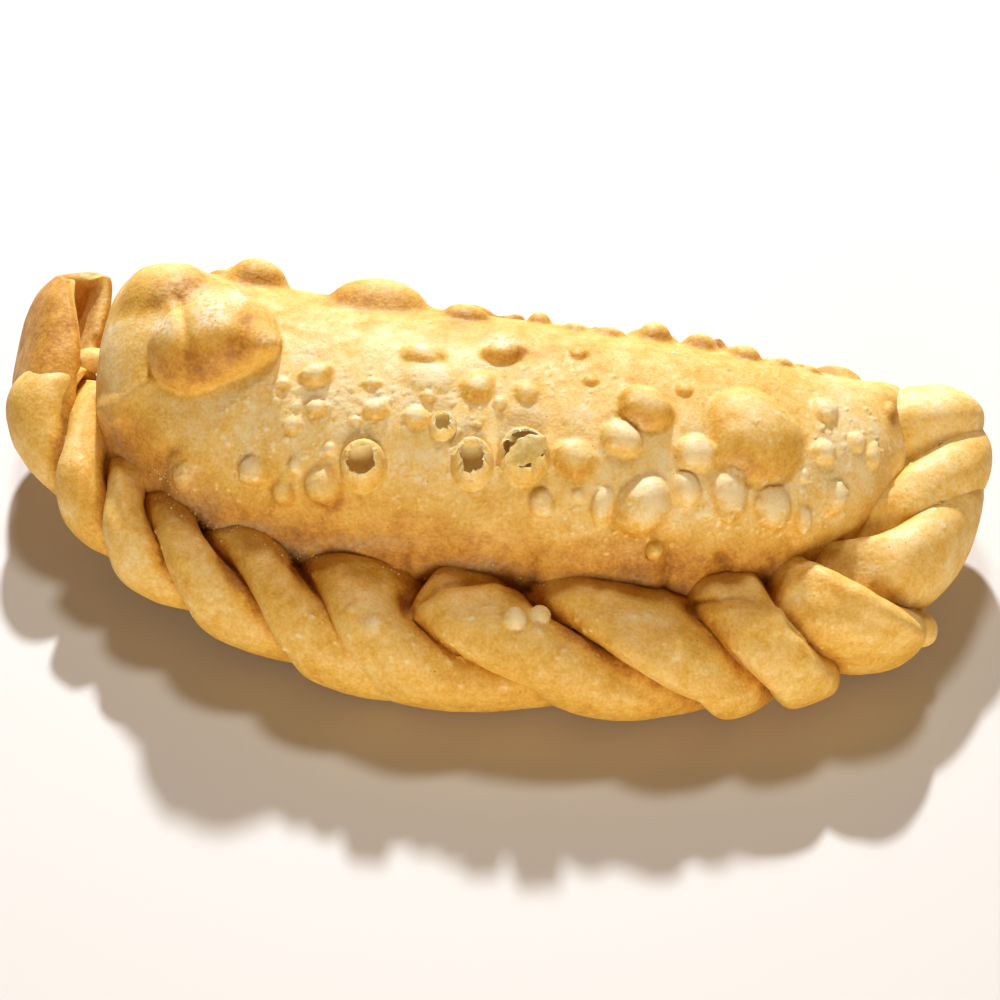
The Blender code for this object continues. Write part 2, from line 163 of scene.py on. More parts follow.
def add_node(tree, kind, settings=None, links=None):
    """Adds one node: settings gives values to its properties or its inputs, links gives
    outputs to its inputs."""
    node = tree.nodes.new(kind)
    for name, value in (settings or {}).items():
        if isinstance(name, str) and hasattr(node, name):
            setattr(node, name, value)
        else:
            node.inputs[name].default_value = value
    for name, socket in (links or {}).items():
        tree.links.new(socket, node.inputs[name])
    return node


def hang_lamp(name, azimuth, elevation, distance, size, power, colour):
    """A round soft lamp that shines on the point at which the camera looks."""
    lamp = bpy.data.lights.new(name, "AREA")
    lamp.shape = "DISK"
    lamp.size = size * MM
    lamp.energy = power
    lamp.color = linear(colour)[:3]
    holder = bpy.data.objects.new(name, lamp)
    side = towards(azimuth, elevation)
    holder.location = Vector(CAMERA_AIM + side * distance) * MM
    holder.rotation_euler = Vector(side).to_track_quat("Z", "Y").to_euler()
    bpy.context.scene.collection.objects.link(holder)


def lay_floor():
    """One square under the pie, far wider than the picture."""
    mesh = bpy.data.meshes.new("floor")
    reach = FLOOR_HALF * MM
    corners = [(-reach, -reach, 0), (reach, -reach, 0), (reach, reach, 0), (-reach, reach, 0)]
    mesh.from_pydata(corners, [], [(0, 1, 2, 3)])
    material = bpy.data.materials.new("matt_white_board")
    material.use_nodes = True
    shader = material.node_tree.nodes["Principled BSDF"]
    shader.inputs["Base Color"].default_value = linear(FLOOR_COLOUR)
    shader.inputs["Roughness"].default_value = FLOOR_ROUGHNESS
    mesh.materials.append(material)
    floor = bpy.data.objects.new("floor", mesh)
    bpy.context.scene.collection.objects.link(floor)
    floor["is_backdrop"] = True


def light_the_world():
    """An even sky of one colour. The plain view shows every colour as it is mixed."""
    world = bpy.data.worlds.new("studio")
    world.use_nodes = True
    sky = world.node_tree.nodes["Background"]
    sky.inputs["Color"].default_value = linear(SKY_COLOUR)
    sky.inputs["Strength"].default_value = SKY_STRENGTH
    bpy.context.scene.world = world
    bpy.context.scene.view_settings.view_transform = "Standard"


lay_floor()
light_the_world()
for lamp_name, settings in LAMPS.items():
    hang_lamp(lamp_name, *settings)
print("floor, sky and", len(LAMPS), "lamps are in place")

# %% [markdown]
# ## Surfaces from grids
#
# Every piece below is a grid of points worked out with numpy. Rows run along the piece and
# columns run round it, so neighbours in the grid are neighbours on the skin. That makes
# normals, noise and blisters simple sums over whole arrays. A grid may also carry tints, one
# number a point, which the dough's finish reads as attributes.

# %% Draw smooth curves, steps and noise
def smooth_between(x, knots, values):
    """Cubic through the knots, with the slope at each knot taken from its two neighbours."""
    knots, values = np.asarray(knots, float), np.asarray(values, float)
    if values.ndim == 1:
        return smooth_between(x, knots, values[:, None])[..., 0]
    slopes = np.gradient(values, knots, axis=0)
    slopes[0] = (values[1] - values[0]) / (knots[1] - knots[0])
    slopes[-1] = (values[-1] - values[-2]) / (knots[-1] - knots[-2])
    k = np.clip(np.searchsorted(knots, x, side="right") - 1, 0, len(knots) - 2)
    span = knots[k + 1] - knots[k]
    t = ((x - knots[k]) / span)[..., None]
    span = span[..., None]
    return ((2 * t**3 - 3 * t**2 + 1) * values[k] + (t**3 - 2 * t**2 + t) * span * slopes[k]
            + (3 * t**2 - 2 * t**3) * values[k + 1] + (t**3 - t**2) * span * slopes[k + 1])


def even_places(line, count, weight=1.0):
    """Shares from 0 to 1 along a densely sampled line, with equal weighted length between them."""
    steps = np.linalg.norm(np.diff(line, axis=0), axis=1) * weight
    length = np.r_[0, np.cumsum(steps)]
    return np.interp(np.linspace(0, length[-1], count), length, np.linspace(0, 1, len(line)))


def ease(x, start, end):
    """0 before start, 1 after end and a smooth step between them."""
    t = np.clip((x - start) / (end - start), 0, 1)
    return t * t * (3 - 2 * t)


def bell(distance, width):
    """Bell curve: e to the power of minus the square of the distance over the width."""
    return np.exp(-(distance / width)**2)


def unit(vectors):
    """Each vector divided by its length."""
    return vectors / np.maximum(np.linalg.norm(vectors, axis=-1, keepdims=True), 1e-12)


def grid_normals(grid):
    """Outward normals: the cross product of the step along the rows and the step round them."""
    around = np.roll(grid, -1, axis=1) - np.roll(grid, 1, axis=1)
    return unit(np.cross(np.gradient(grid, axis=0), around))


def soft_noise(points, size, seed):
    """Smooth random relief between -1 and 1: a random number at each corner of a lattice of
    cubes of that size, blended across each cube by a smooth step in all three directions."""
    draw = np.random.default_rng(seed).uniform(-1, 1, 8192)
    place = points / size
    cell = np.floor(place).astype(np.int64)
    t = ease(place - cell, 0, 1)
    total = 0
    for corner in np.ndindex(2, 2, 2):
        near = cell + np.array(corner)
        pick = (near[..., 0] * 73856093) ^ (near[..., 1] * 19349663) ^ (near[..., 2] * 83492791)
        share = np.where(np.array(corner) == 1, t, 1 - t).prod(axis=-1)
        total = total + draw[pick % len(draw)] * share
    return total


print("a smooth step passes", ease(0.25, 0, 1), "at a quarter of the way")

# %% Turn grids into meshes
def put_mesh(name, points, faces, tints):
    """A mesh object from points in millimetres and lists of quads and triangles, with tints."""
    mesh = bpy.data.meshes.new(name)
    mesh.vertices.add(len(points))
    mesh.vertices.foreach_set("co", (points * MM).astype(np.float32).ravel())
    corners = np.concatenate([group.ravel() for group in faces])
    sides = np.concatenate([np.full(len(group), group.shape[1]) for group in faces])
    mesh.loops.add(len(corners))
    mesh.loops.foreach_set("vertex_index", corners.astype(np.int32))
    mesh.polygons.add(len(sides))
    mesh.polygons.foreach_set("loop_start", (np.cumsum(sides) - sides).astype(np.int32))
    mesh.update(calc_edges=True)
    mesh.validate()
    mesh.shade_smooth()
    for tint, values in tints.items():
        layer = mesh.attributes.new(tint, "FLOAT", "POINT")
        layer.data.foreach_set("value", np.asarray(values, np.float32).ravel())
    piece = bpy.data.objects.new(name, mesh)
    bpy.context.scene.collection.objects.link(piece)
    print(name, "has", int((sides - 2).sum()), "triangles")
    return piece


def tube_mesh(name, grid, tints):
    """A closed skin from a grid whose columns run round it: each end row shrinks to one pole."""
    rows, ring = grid.shape[:2]
    number = np.arange((rows - 2) * ring).reshape(rows - 2, ring) + 1
    after = np.roll(number, -1, axis=1)
    quads = np.stack([number[:-1], after[:-1], after[1:], number[1:]], axis=-1).reshape(-1, 4)
    last = number[-1, -1] + 1
    first_cap = np.stack([np.zeros(ring, int), after[0], number[0]], axis=-1)
    last_cap = np.stack([np.full(ring, last), number[-1], after[-1]], axis=-1)

    def joined(values):
        body = values[1:-1].reshape(-1, *values.shape[2:])
        return np.concatenate([values[:1].mean(axis=1), body, values[-1:].mean(axis=1)])

    faces = [quads, np.concatenate([first_cap, last_cap])]
    return put_mesh(name, joined(grid), faces, {tint: joined(v) for tint, v in tints.items()})


print("each grid becomes quads, closed at its ends by triangles")

# %% [markdown]
# ## The belly
#
# The filling pushes the dough up into a fat half moon. Nine cross-sections say how far it
# reaches to the front, to the back, up and down, and a smooth curve joins them. The grid is
# four times finer where the skin can be seen from the front and above, because the blisters
# need small cells and the underside doesn't.

# %% Shape the belly's bare skin
MIDDLE = np.array((0.0, 2.8, 0.0))     # where the frame's middle lies in the lengths below
BELLY_LEFT = -49.8
BELLY_RIGHT = 54.0
# place from the left end (0) to the right end (1), front Y, back Y, top Z, bottom Z
BELLY_SECTIONS = (
    (0.00, 18.0, 18.0, 15.0, 15.0), (0.10, 3.5, 28.0, 25.5, 4.5), (0.20, -3.5, 27.8, 30.0, 0.5),
    (0.35, -11.5, 26.0, 31.5, -1.0), (0.50, -13.0, 24.8, 31.5, -1.0),
    (0.65, -11.6, 24.4, 29.6, -1.0), (0.80, -4.0, 25.0, 24.3, 0.5), (0.90, 6.0, 26.0, 19.5, 4.5),
    (1.00, 18.0, 18.0, 12.0, 12.0),
)
EQUATOR = 0.48          # height of the widest line, as a share of the section's height
UNDERSIDE_DROP = 1.25   # how many times as deep the underside would go if nothing held it up
BELLY_ROWS = 400
BELLY_RING = 236
BELLY_HIDDEN = 0.24     # points a millimetre on the hidden skin, as a share of those that show
FINE_STEPS = 3000       # a line is drawn this finely before its points are spaced out


def belly_point(place, angle):
    """Skin of the belly: x follows half a cosine along it; in each section y is a cosine of the
    angle between front and back, and z a sine between its widest line and its top or bottom,
    pressed flat where it would pass through the floor."""
    rows = np.array(BELLY_SECTIONS)
    front, back, top, bottom = np.moveaxis(smooth_between(place, rows[:, 0], rows[:, 1:]), -1, 0)
    x = BELLY_LEFT + (BELLY_RIGHT - BELLY_LEFT) * (1 - np.cos(np.pi * place)) / 2
    y = (front + back) / 2 - (back - front) / 2 * np.cos(angle)
    widest = bottom + (top - bottom) * EQUATOR
    rise = np.where(np.sin(angle) > 0, top - widest, (widest - bottom) * UNDERSIDE_DROP)
    z = np.maximum(widest + rise * np.sin(angle), np.maximum(bottom, 0.0))
    return np.stack([x, y, z], axis=-1) - MIDDLE


def belly_grid():
    """Points at even distances along a line over the belly, and round its middle section at
    distances that grow where the skin can't be seen."""
    fine = np.linspace(0, 1, FINE_STEPS)
    place = even_places(belly_point(fine, np.full(FINE_STEPS, 1.0)), BELLY_ROWS)
    degrees = fine * 360 - 90
    seen = BELLY_HIDDEN + (1 - BELLY_HIDDEN) * ease(degrees, -30, -5) * (1 - ease(degrees, 140, 165))
    section = belly_point(np.full(FINE_STEPS, 0.45), np.radians(degrees))
    angle = np.radians(even_places(section, BELLY_RING + 1, seen[1:]) * 360 - 90)[:-1]
    place, angle = np.meshgrid(place, angle, indexing="ij")
    return belly_point(place, angle), angle


belly, belly_angle = belly_grid()
step = np.linalg.norm(np.diff(belly, axis=0), axis=-1)
print("the cells of the belly are about", step[100:300, 90:200].mean().round(2), "mm long")

# %% [markdown]
# ## Blisters
#
# Steam under the skin lifts it into balls. A blister is made by moving the points inside its
# foot: a point's distance from the middle is read as a way along the blister's profile, an arc
# of a circle that may run past the widest part, and then a small curve out to the skin. So the
# skin stays one sheet, the sides can be steep, and a blister may sit on another one.

# %% Raise blisters on a skin
# a blister's low side, turned away from the lamps behind, is browned as painted shade
PALE_TOP = 0.30         # the thin top of a blister is paler, and its low side browner
SIDE_AT, SIDE_WIDTH = 0.80, 0.36    # where the brown side lies, in foot radii, and how wide it is
FLAKE_AT, FLAKE_SPREAD = (0.12, 0.22), 0.16     # the dry flake lies a little above the top
BALL_STEPS = 160        # points of the profile over the ball, and past it along the foot
FOOT_STEPS = 60
SAME_PLACE = 3          # pixels that count as one place in the photo


def blister_profile(rise, round_degrees, foot):
    """Share of the way along the profile, with radius and height there in foot radii, from the
    top to the foot: an arc of a circle, stretched to the rise, then level skin. A moving mean
    rounds the corner between them and leaves the upper half of the arc as it is."""
    angle = np.radians(round_degrees) * np.linspace(0, 1, BALL_STEPS)
    radius = np.sin(angle) / np.sin(angle[-1])
    height = rise * (np.cos(angle) - np.cos(angle[-1])) / (1 - np.cos(angle[-1]))
    radius = np.r_[radius, np.linspace(1, 1 + foot, FOOT_STEPS)[1:]]
    height = np.r_[height, np.zeros(FOOT_STEPS - 1)]
    window = max(3, int(BALL_STEPS * foot))
    padded = np.pad(height, window, mode="edge")
    padded[:window] = height[window:0:-1]
    mean = np.convolve(padded, np.ones(2 * window + 1) / (2 * window + 1), mode="valid")
    mean -= mean[-1]
    share = ease(radius, 0.75, 1.0)
    share[:BALL_STEPS // 2] = 0
    height = height * (1 - share) + mean * share
    length = np.r_[0, np.cumsum(np.hypot(np.diff(radius), np.diff(height)))]
    return length / length[-1], radius, height


class Skin:
    """A grid of skin and its tints: toast_and_shade is how brown it is fried, with painted shade
    deepening creases, low skin and undersides and painted light making some lit places paler;
    flake marks the dry pale tops of blisters, and flour marks raw flour."""

    def __init__(self, grid):
        self.grid = grid.copy()
        self.tints = {name: np.zeros(grid.shape[:2]) for name in ("toast_and_shade", "flake", "flour")}

    def under_pixel(self, pixel):
        """Row and column of the point that shows at a pixel of the photo: of the points that
        face the camera and fall about as close to the pixel, the one nearest to the camera."""
        facing = (grid_normals(self.grid) * (EYE - self.grid)).sum(axis=-1) > 0
        miss = np.linalg.norm(in_photo(self.grid) - np.array(pixel), axis=-1)
        depth = np.linalg.norm(EYE - self.grid, axis=-1)
        miss = np.where(facing, miss, np.inf)
        near = miss < miss.min() + SAME_PLACE
        return np.unravel_index(np.argmin(np.where(near, depth, np.inf)), miss.shape)

    def patch(self, row, column, reach):
        """The stretch of the grid within reach of a point and two cells more, as rows and columns."""
        inside = np.linalg.norm(self.grid - self.grid[row, column], axis=-1) < reach
        spans = [np.flatnonzero(inside.any(axis=axis)) for axis in (1, 0)]
        return tuple(slice(max(span[0] - 2, 0), span[-1] + 3) for span in spans)

    def frame_at(self, row, column, radius):
        """Mean normal round a point, with the directions along the pie and up over it."""
        rows, columns = self.patch(row, column, max(radius, 0.8))
        piece = self.grid[rows, columns]
        normal = np.cross(np.gradient(piece, axis=0), np.gradient(piece, axis=1))
        weight = bell(np.linalg.norm(piece - self.grid[row, column], axis=-1), radius)
        normal = unit((unit(normal) * weight[..., None]).sum(axis=(0, 1)))
        along = unit(np.array((1.0, 0.0, 0.0)) - normal[0] * normal)
        return normal, along, np.cross(normal, along)

    def raise_blister(self, row, column, half_long, half_over, rise, round_degrees=75, foot=0.25,
                      spin=0.0, wobble=0.06, toast_and_shade=0.0, flake=0.0, seed=0, outline=None):
        """Raises one blister: half lengths along and over the skin and its rise in millimetres,
        spin in degrees round the normal. Its outline wobbles by a seeded sum of three waves, or
        follows radii that are given at even steps round it. Each point keeps its direction from
        the middle and moves to the radius and height of its share of the way."""
        middle = self.grid[row, column].copy()
        size = max(half_long, half_over)
        normal, along, over = self.frame_at(row, column, size * 0.7)
        turn_by = np.radians(spin)
        along, over = (np.cos(turn_by) * along + np.sin(turn_by) * over,
                       np.cos(turn_by) * over - np.sin(turn_by) * along)
        rows, columns = self.patch(row, column, size * (1 + foot) * 1.35 + 0.6)
        away = self.grid[rows, columns] - middle
        a, b = away @ along / half_long, away @ over / half_over
        drop = away @ normal
        round_at = np.arctan2(b, a)
        draw = np.random.default_rng(seed)
        phases = draw.uniform(0, 2 * np.pi, 3)
        edge = 1 + wobble * (np.sin(2 * round_at + phases[0]) + 0.6 * np.sin(3 * round_at + phases[1])
                             + 0.4 * np.sin(5 * round_at + phases[2]))
        if outline is not None:
            radii = np.array(outline)[np.arange(-2, len(outline) + 3) % len(outline)]
            steps = np.arange(-2, len(outline) + 3) * 2 * np.pi / len(outline)
            edge = smooth_between(round_at % (2 * np.pi), steps, radii)
        distance = np.hypot(a, b) / edge
        mean_half = np.sqrt(half_long * half_over)
        share, radius, height = blister_profile(rise / mean_half, round_degrees, foot)
        way = np.clip(distance / (1 + foot), 0, 1)
        moved_radius = np.interp(way, share, radius)
        moved_height = np.interp(way, share, height) * mean_half
        ratio = moved_radius / np.maximum(distance, 1e-6)
        ratio = np.where(distance < 1e-3, radius[1] / (share[1] * (1 + foot)), ratio)
        inside = (distance < 1 + foot) & (np.abs(drop) < size * 1.5)
        moved = (middle + (a * ratio * half_long)[..., None] * along
                 + (b * ratio * half_over)[..., None] * over
                 + (drop * ratio**2 + moved_height)[..., None] * normal)
        self.grid[rows, columns] = np.where(inside[..., None], moved, self.grid[rows, columns])
        top = np.clip(moved_height / max(rise, 1e-6), 0, 1) * inside
        over_by, along_by = moved @ over - middle @ over, moved @ along - middle @ along
        # the side toast is weighted towards the blister's lower side as painted shade; the thin top is paler
        lower = 0.5 - 0.5 * np.sin(np.arctan2(over_by, along_by))
        side = bell(distance - SIDE_AT, SIDE_WIDTH) * (0.25 + 0.75 * lower) * inside
        self.add_tint("toast_and_shade", rows, columns,
                      (PALE_TOP + 0.7 * toast_and_shade) * side + (0.2 * toast_and_shade - PALE_TOP) * top)
        spot = np.exp(-((a - FLAKE_AT[0])**2 + (b - FLAKE_AT[1])**2) / FLAKE_SPREAD) * inside
        self.add_tint("flake", rows, columns, flake * spot)

    def add_tint(self, name, rows, columns, values):
        self.tints[name][rows, columns] += values


crust = Skin(belly)
print("the crust starts from", crust.grid.shape[:2], "points")

# %% Raise the belly's blisters
# place in the photo, width and height there in pixels, then rise as a share of the half width,
# how far round the ball goes in degrees, spin, toast, which browns mostly the low side as
# painted shade, and flake
SWELLINGS = (
    (756, 421, 104, 98, 0.42, 80, 0, 0.75, 0.0), (428, 372, 60, 34, 0.16, 60, 0, 0.0, 0.0),
)
BALLS = (
    (646, 401, 60, 47, 0.62, 84, -10, 0.9, 0.0), (573, 451, 44, 42, 0.50, 78, 0, 0.8, 0.0),
    (624, 432, 42, 40, 0.70, 88, -20, 0.35, 0.6), (696, 446, 40, 42, 0.70, 90, -15, 0.25, 0.6),
    (645, 499, 52, 66, 0.76, 90, -25, 0.3, 0.5), (603, 503, 23, 36, 0.90, 94, -8, 0.0, 0.5),
    (688, 482, 28, 34, 0.85, 92, 0, 0.1, 0.5), (731, 485, 39, 54, 0.76, 90, 0, 0.35, 0.5),
    (776, 503, 36, 50, 0.76, 90, 0, 0.4, 0.4), (804, 517, 20, 28, 0.90, 94, 0, -0.1, 0.5),
    (837, 492, 29, 34, 0.72, 86, 0, 0.25, 0.4), (826, 447, 26, 28, 0.75, 88, 0, 0.1, 0.5),
    (826, 403, 28, 30, 0.62, 84, 0, 0.0, 0.2), (858, 436, 21, 22, 0.65, 84, 0, 0.0, 0.2),
    (876, 452, 20, 26, 0.60, 80, 0, 0.1, 0.2), (893, 406, 13, 18, 0.60, 80, 0, 0.1, 0.2),
    (541, 501, 25, 29, 0.95, 96, 0, -0.2, 0.5), (656, 549, 16, 17, 0.95, 96, 0, -0.2, 0.5),
    (576, 497, 13, 13, 0.70, 90, 0, 0.1, 0.1), (502, 348, 43, 24, 0.52, 76, 30, 0.8, 0.7),
    (421, 349, 42, 24, 0.42, 72, 0, 0.35, 0.4), (476, 380, 38, 33, 0.42, 72, 0, 0.75, 0.1),
    (527, 388, 24, 24, 0.50, 76, 0, 0.3, 0.2), (498, 398, 14, 14, 0.75, 90, 0, 0.05, 0.2),
    (427, 391, 15, 13, 0.60, 80, 0, 0.35, 0.1), (579, 350, 17, 15, 0.60, 80, 0, 0.3, 0.1),
    (589, 376, 16, 13, 0.50, 76, 0, 0.35, 0.1), (686, 386, 19, 15, 0.55, 78, 0, 0.45, 0.1),
    (316, 368, 38, 27, 0.62, 82, 10, 0.55, 0.6), (281, 378, 17, 14, 0.60, 80, 0, 0.2, 0.3),
    (371, 378, 20, 12, 0.45, 72, 0, 0.3, 0.4), (316, 403, 23, 20, 0.55, 78, 0, 0.5, 0.1),
    (376, 404, 25, 23, 0.58, 80, 0, 0.45, 0.2), (415, 412, 27, 24, 0.62, 82, 0, 0.35, 0.2),
    (288, 423, 20, 20, 0.45, 74, 0, 0.2, 0.1), (353, 418, 13, 11, 0.45, 72, 0, 0.5, 0.0),
    (251, 467, 32, 33, 0.88, 93, 0, 0.1, 0.6), (293, 463, 15, 16, 0.90, 96, 0, -0.2, 0.7),
    (282, 492, 26, 27, 0.80, 90, 0, 0.2, 0.1), (322, 484, 42, 44, 0.76, 87, 0, 0.45, 0.1),
    (327, 447, 13, 13, 0.90, 94, 0, -0.2, 0.6), (182, 477, 24, 30, 0.40, 70, 0, 0.1, 0.2),
    (806, 472, 13, 15, 0.75, 90, 0, 0.0, 0.3), (728, 519, 13, 13, 0.70, 90, 0, 0.05, 0.1),
    (755, 501, 10, 14, 0.75, 90, 0, 0.0, 0.4), (710, 512, 14, 14, 0.45, 76, 0, 0.05, 0.2),
)
# the big blister on the left shoulder: its middle in the photo, half lengths and rise in
# millimetres, and its outline as radii at every 30 degrees from its right side up
BIG_BLISTER = ((210, 346), 8.3, 7.6, 4.7)
BIG_OUTLINE = (1.0, 0.98, 1.05, 0.93, 0.82, 0.88, 1.0, 0.96, 0.88, 0.76, 0.70, 0.82)
# on the skyline, where the photo shows them edge on: x along the belly, degrees up over it
# from the front, width and rise in millimetres, toast, which browns mostly the low side as
# painted shade, and flake
SKYLINE = (
    (-41.0, 108, 12.0, 1.9, 0.25, 0.2), (-30.0, 132, 8.0, 3.0, 0.3, 0.0),
    (-14.0, 130, 11.5, 2.9, 0.35, 0.2), (-3.0, 123, 5.5, 1.4, 0.3, 0.1),
    (6.0, 131, 3.2, 1.3, 0.3, 0.0), (10.4, 128, 3.0, 0.6, 0.2, 0.2), (14.9, 130, 4.0, 0.8, 0.3, 0.0),
    (20.0, 134, 5.0, 2.3, 0.3, 0.0), (26.0, 134, 5.0, 1.8, 0.3, 0.0), (31.5, 129, 4.6, 1.3, 0.3, 0.0),
    (36.4, 128, 2.6, 0.7, 0.2, 0.0), (40.0, 127, 2.4, 0.6, 0.2, 0.0),
)
BACK_BLISTERS = 26      # on the back, spread by a seeded rule
BACK_SEED = 7
BELOW_MIDDLE = 0.18     # a ball stands on skin lower in the picture, by this share of its rise
LEAST_TILT = 0.55       # a blister seen edge on is stretched no more than this allows
OVAL = (0.72, 1.9)      # the shortest and the tallest that a blister is, over its width


def on_skin(x, degrees):
    """Row and column of the belly's bare skin at a place along it and an angle over it."""
    row = np.argmin(np.abs(belly[:, 0, 0] - x))
    return row, np.argmin(np.abs(np.degrees(belly_angle[row]) - degrees))


def raise_in_photo(skin, rows, foot, wobble):
    """Raises blisters that are given by pixels. The height is stretched where the skin tilts
    away from the camera, less half of what the rise adds to it in the picture. A ball that runs
    past its widest part has a foot narrower than itself, by the sine of its last angle."""
    for seed, (px, py, wide, tall, rise, round_degrees, spin, toast_and_shade, flake) in enumerate(rows):
        row, column = skin.under_pixel((px, py + BELOW_MIDDLE * tall * rise))
        pixel = pixel_size(skin.grid[row, column])
        normal, along, over = skin.frame_at(row, column, wide * pixel / 2)
        tilted = max(seen_length(over), LEAST_TILT)
        half_long = wide * pixel / 2 * np.sin(np.radians(max(round_degrees, 90)))
        stretched = tall * pixel / 2 / tilted
        seen_rise = rise * half_long * abs(normal @ UPWARD) * 0.5
        half_over = np.clip(stretched - seen_rise, half_long * OVAL[0], half_long * OVAL[1])
        skin.raise_blister(row, column, half_long, half_over, rise * half_long, round_degrees, foot,
                           spin, wobble, toast_and_shade, flake, seed)


raise_in_photo(crust, SWELLINGS, 0.14, 0.05)
pixel, *sizes = BIG_BLISTER
crust.raise_blister(*crust.under_pixel(pixel), *sizes, 98, 0.09, toast_and_shade=0.3, outline=BIG_OUTLINE)
for number, (x, degrees, width, rise, toast_and_shade, flake) in enumerate(SKYLINE):
    crust.raise_blister(*on_skin(x, degrees), width / 2, width / 2 * 0.95, rise,
                        toast_and_shade=toast_and_shade, flake=flake, seed=100 + number)
draw = np.random.default_rng(BACK_SEED)
for x in np.linspace(-40, 42, BACK_BLISTERS):
    width = draw.uniform(2.5, 7.5)
    spot = on_skin(x + draw.uniform(-2, 2), draw.uniform(146, 178))
    crust.raise_blister(*spot, width / 2, width / 2, width * 0.28, 80, toast_and_shade=0.4,
                        flake=draw.uniform(0, 0.4), seed=int(x) + 300)
raise_in_photo(crust, BALLS, 0.24, 0.06)
print("the belly carries", len(SWELLINGS + SKYLINE + BALLS) + BACK_BLISTERS + 1, "blisters")

# %% [markdown]
# ## Creases, ridges and dents
#
# The big blister is two lobes with a sharp crease between them, and where the rope was rolled
# the belly puckers. Each of these follows a line in the photo. Skin near the line moves in or
# out along its normal, by an amount that fades like a bell curve with the distance from it, and
# the grooves are tinted darker as painted shade.

# %% Press creases into the belly
# a line in the photo, half width in pixels, height in millimetres, and painted shade there,
# which is paler below zero
CREASES = (
    (((180, 300), (184, 325), (187, 352)), 5, -0.45, 0.2),
    (((172, 310), (176, 335), (180, 350)), 9, 0.25, -0.1),
    (((252, 300), (246, 322)), 10, -0.2, 0.3), (((264, 346), (272, 346)), 11, 0.5, 0.0),
    (((216, 312), (224, 322)), 22, 0.45, 0.0), (((160, 335), (166, 350)), 14, 0.2, 0.0),
    (((108, 408), (116, 420)), 10, 1.0, 0.0), (((120, 404), (150, 380)), 9, 0.4, 0.0),
    (((160, 500), (159, 475), (168, 452)), 11, -0.7, 0.12),
    (((176, 460), (180, 490)), 14, 0.5, 0.0), (((126, 436), (140, 462)), 16, -0.7, 0.2),
    (((406, 548), (405, 575), (410, 600)), 6, -0.5, 0.15),
    (((532, 560), (531, 575), (534, 592)), 5, -0.5, 0.15),
    (((670, 542), (668, 562), (664, 590)), 6, -0.6, 0.2), (((648, 556), (646, 590)), 14, 0.5, 0.1),
    (((722, 556), (727, 570), (731, 590)), 6, -0.6, 0.2), (((700, 586), (718, 574)), 7, -0.4, 0.1),
    (((790, 540), (798, 560)), 8, -0.4, 0.1), (((612, 560), (622, 590)), 18, 0.4, 0.0),
    (((470, 545), (480, 570)), 20, 0.4, 0.0),
)


def pixels_to_line(pixels, line):
    """Distance in pixels from each pixel to a line of joined points: for each piece of the line,
    the share of it that lies nearest is the projection on it, kept between 0 and 1."""
    nearest = np.full(pixels.shape[:-1], np.inf)
    for start, end in zip(np.array(line[:-1], float), np.array(line[1:], float)):
        reach = end - start
        t = np.clip((pixels - start) @ reach / (reach @ reach), 0, 1)
        away = np.linalg.norm(pixels - start - t[..., None] * reach, axis=-1)
        nearest = np.minimum(nearest, away)
    return nearest


def facing_eye(grid):
    """1 where a grid's skin faces the camera, fading to 0 where it turns away."""
    return ease((grid_normals(grid) * unit(EYE - grid)).sum(axis=-1), -0.05, 0.2)


def press_line(skin, line, half_width, height, toast_and_shade):
    """Moves the skin that faces the camera, and tints it darker as painted shade, paler where the
    value is below zero, by a bell curve of its distance from the line."""
    share = bell(pixels_to_line(in_photo(skin.grid), line), half_width) * facing_eye(skin.grid)
    skin.grid = skin.grid + (share * height)[..., None] * grid_normals(skin.grid)
    skin.tints["toast_and_shade"] += share * toast_and_shade


for crease in CREASES:
    press_line(crust, *crease)
print("pressed", len(CREASES), "creases and ridges")

# %% [markdown]
# ## Pimples and soft waves
#
# Between the blisters the skin is never smooth. Hundreds of pimples, half a millimetre to a
# millimetre wide, stand in swarms, and the dough itself waves gently. Pimples are small domes
# pushed out along the normal; the waves are smooth noise of three sizes.

# %% Roughen the belly
# swarms in the photo: middle, half width and half height in pixels, number of pimples
SWARMS = (
    (300, 425, 85, 45, 110), (420, 430, 70, 50, 60), (350, 395, 110, 30, 60), (560, 420, 90, 60, 50),
    (640, 520, 110, 35, 60), (770, 505, 80, 30, 80), (850, 450, 40, 50, 50), (760, 400, 60, 45, 40),
    (450, 500, 110, 35, 20), (620, 370, 90, 25, 20), (240, 470, 60, 30, 30), (600, 540, 80, 14, 12),
)
PIMPLE_RADIUS = (0.26, 0.55)        # millimetres
PIMPLE_RISE = (0.3, 0.7)            # over the radius
WAVES = ((9.0, 0.18), (3.2, 0.09), (1.3, 0.045))     # size and height in millimetres


def oval_distance(pixels, px, py, half_wide, half_tall):
    """Distance in the photo from the middle of an oval, 1 on the oval itself."""
    return np.hypot((pixels[..., 0] - px) / half_wide, (pixels[..., 1] - py) / half_tall)


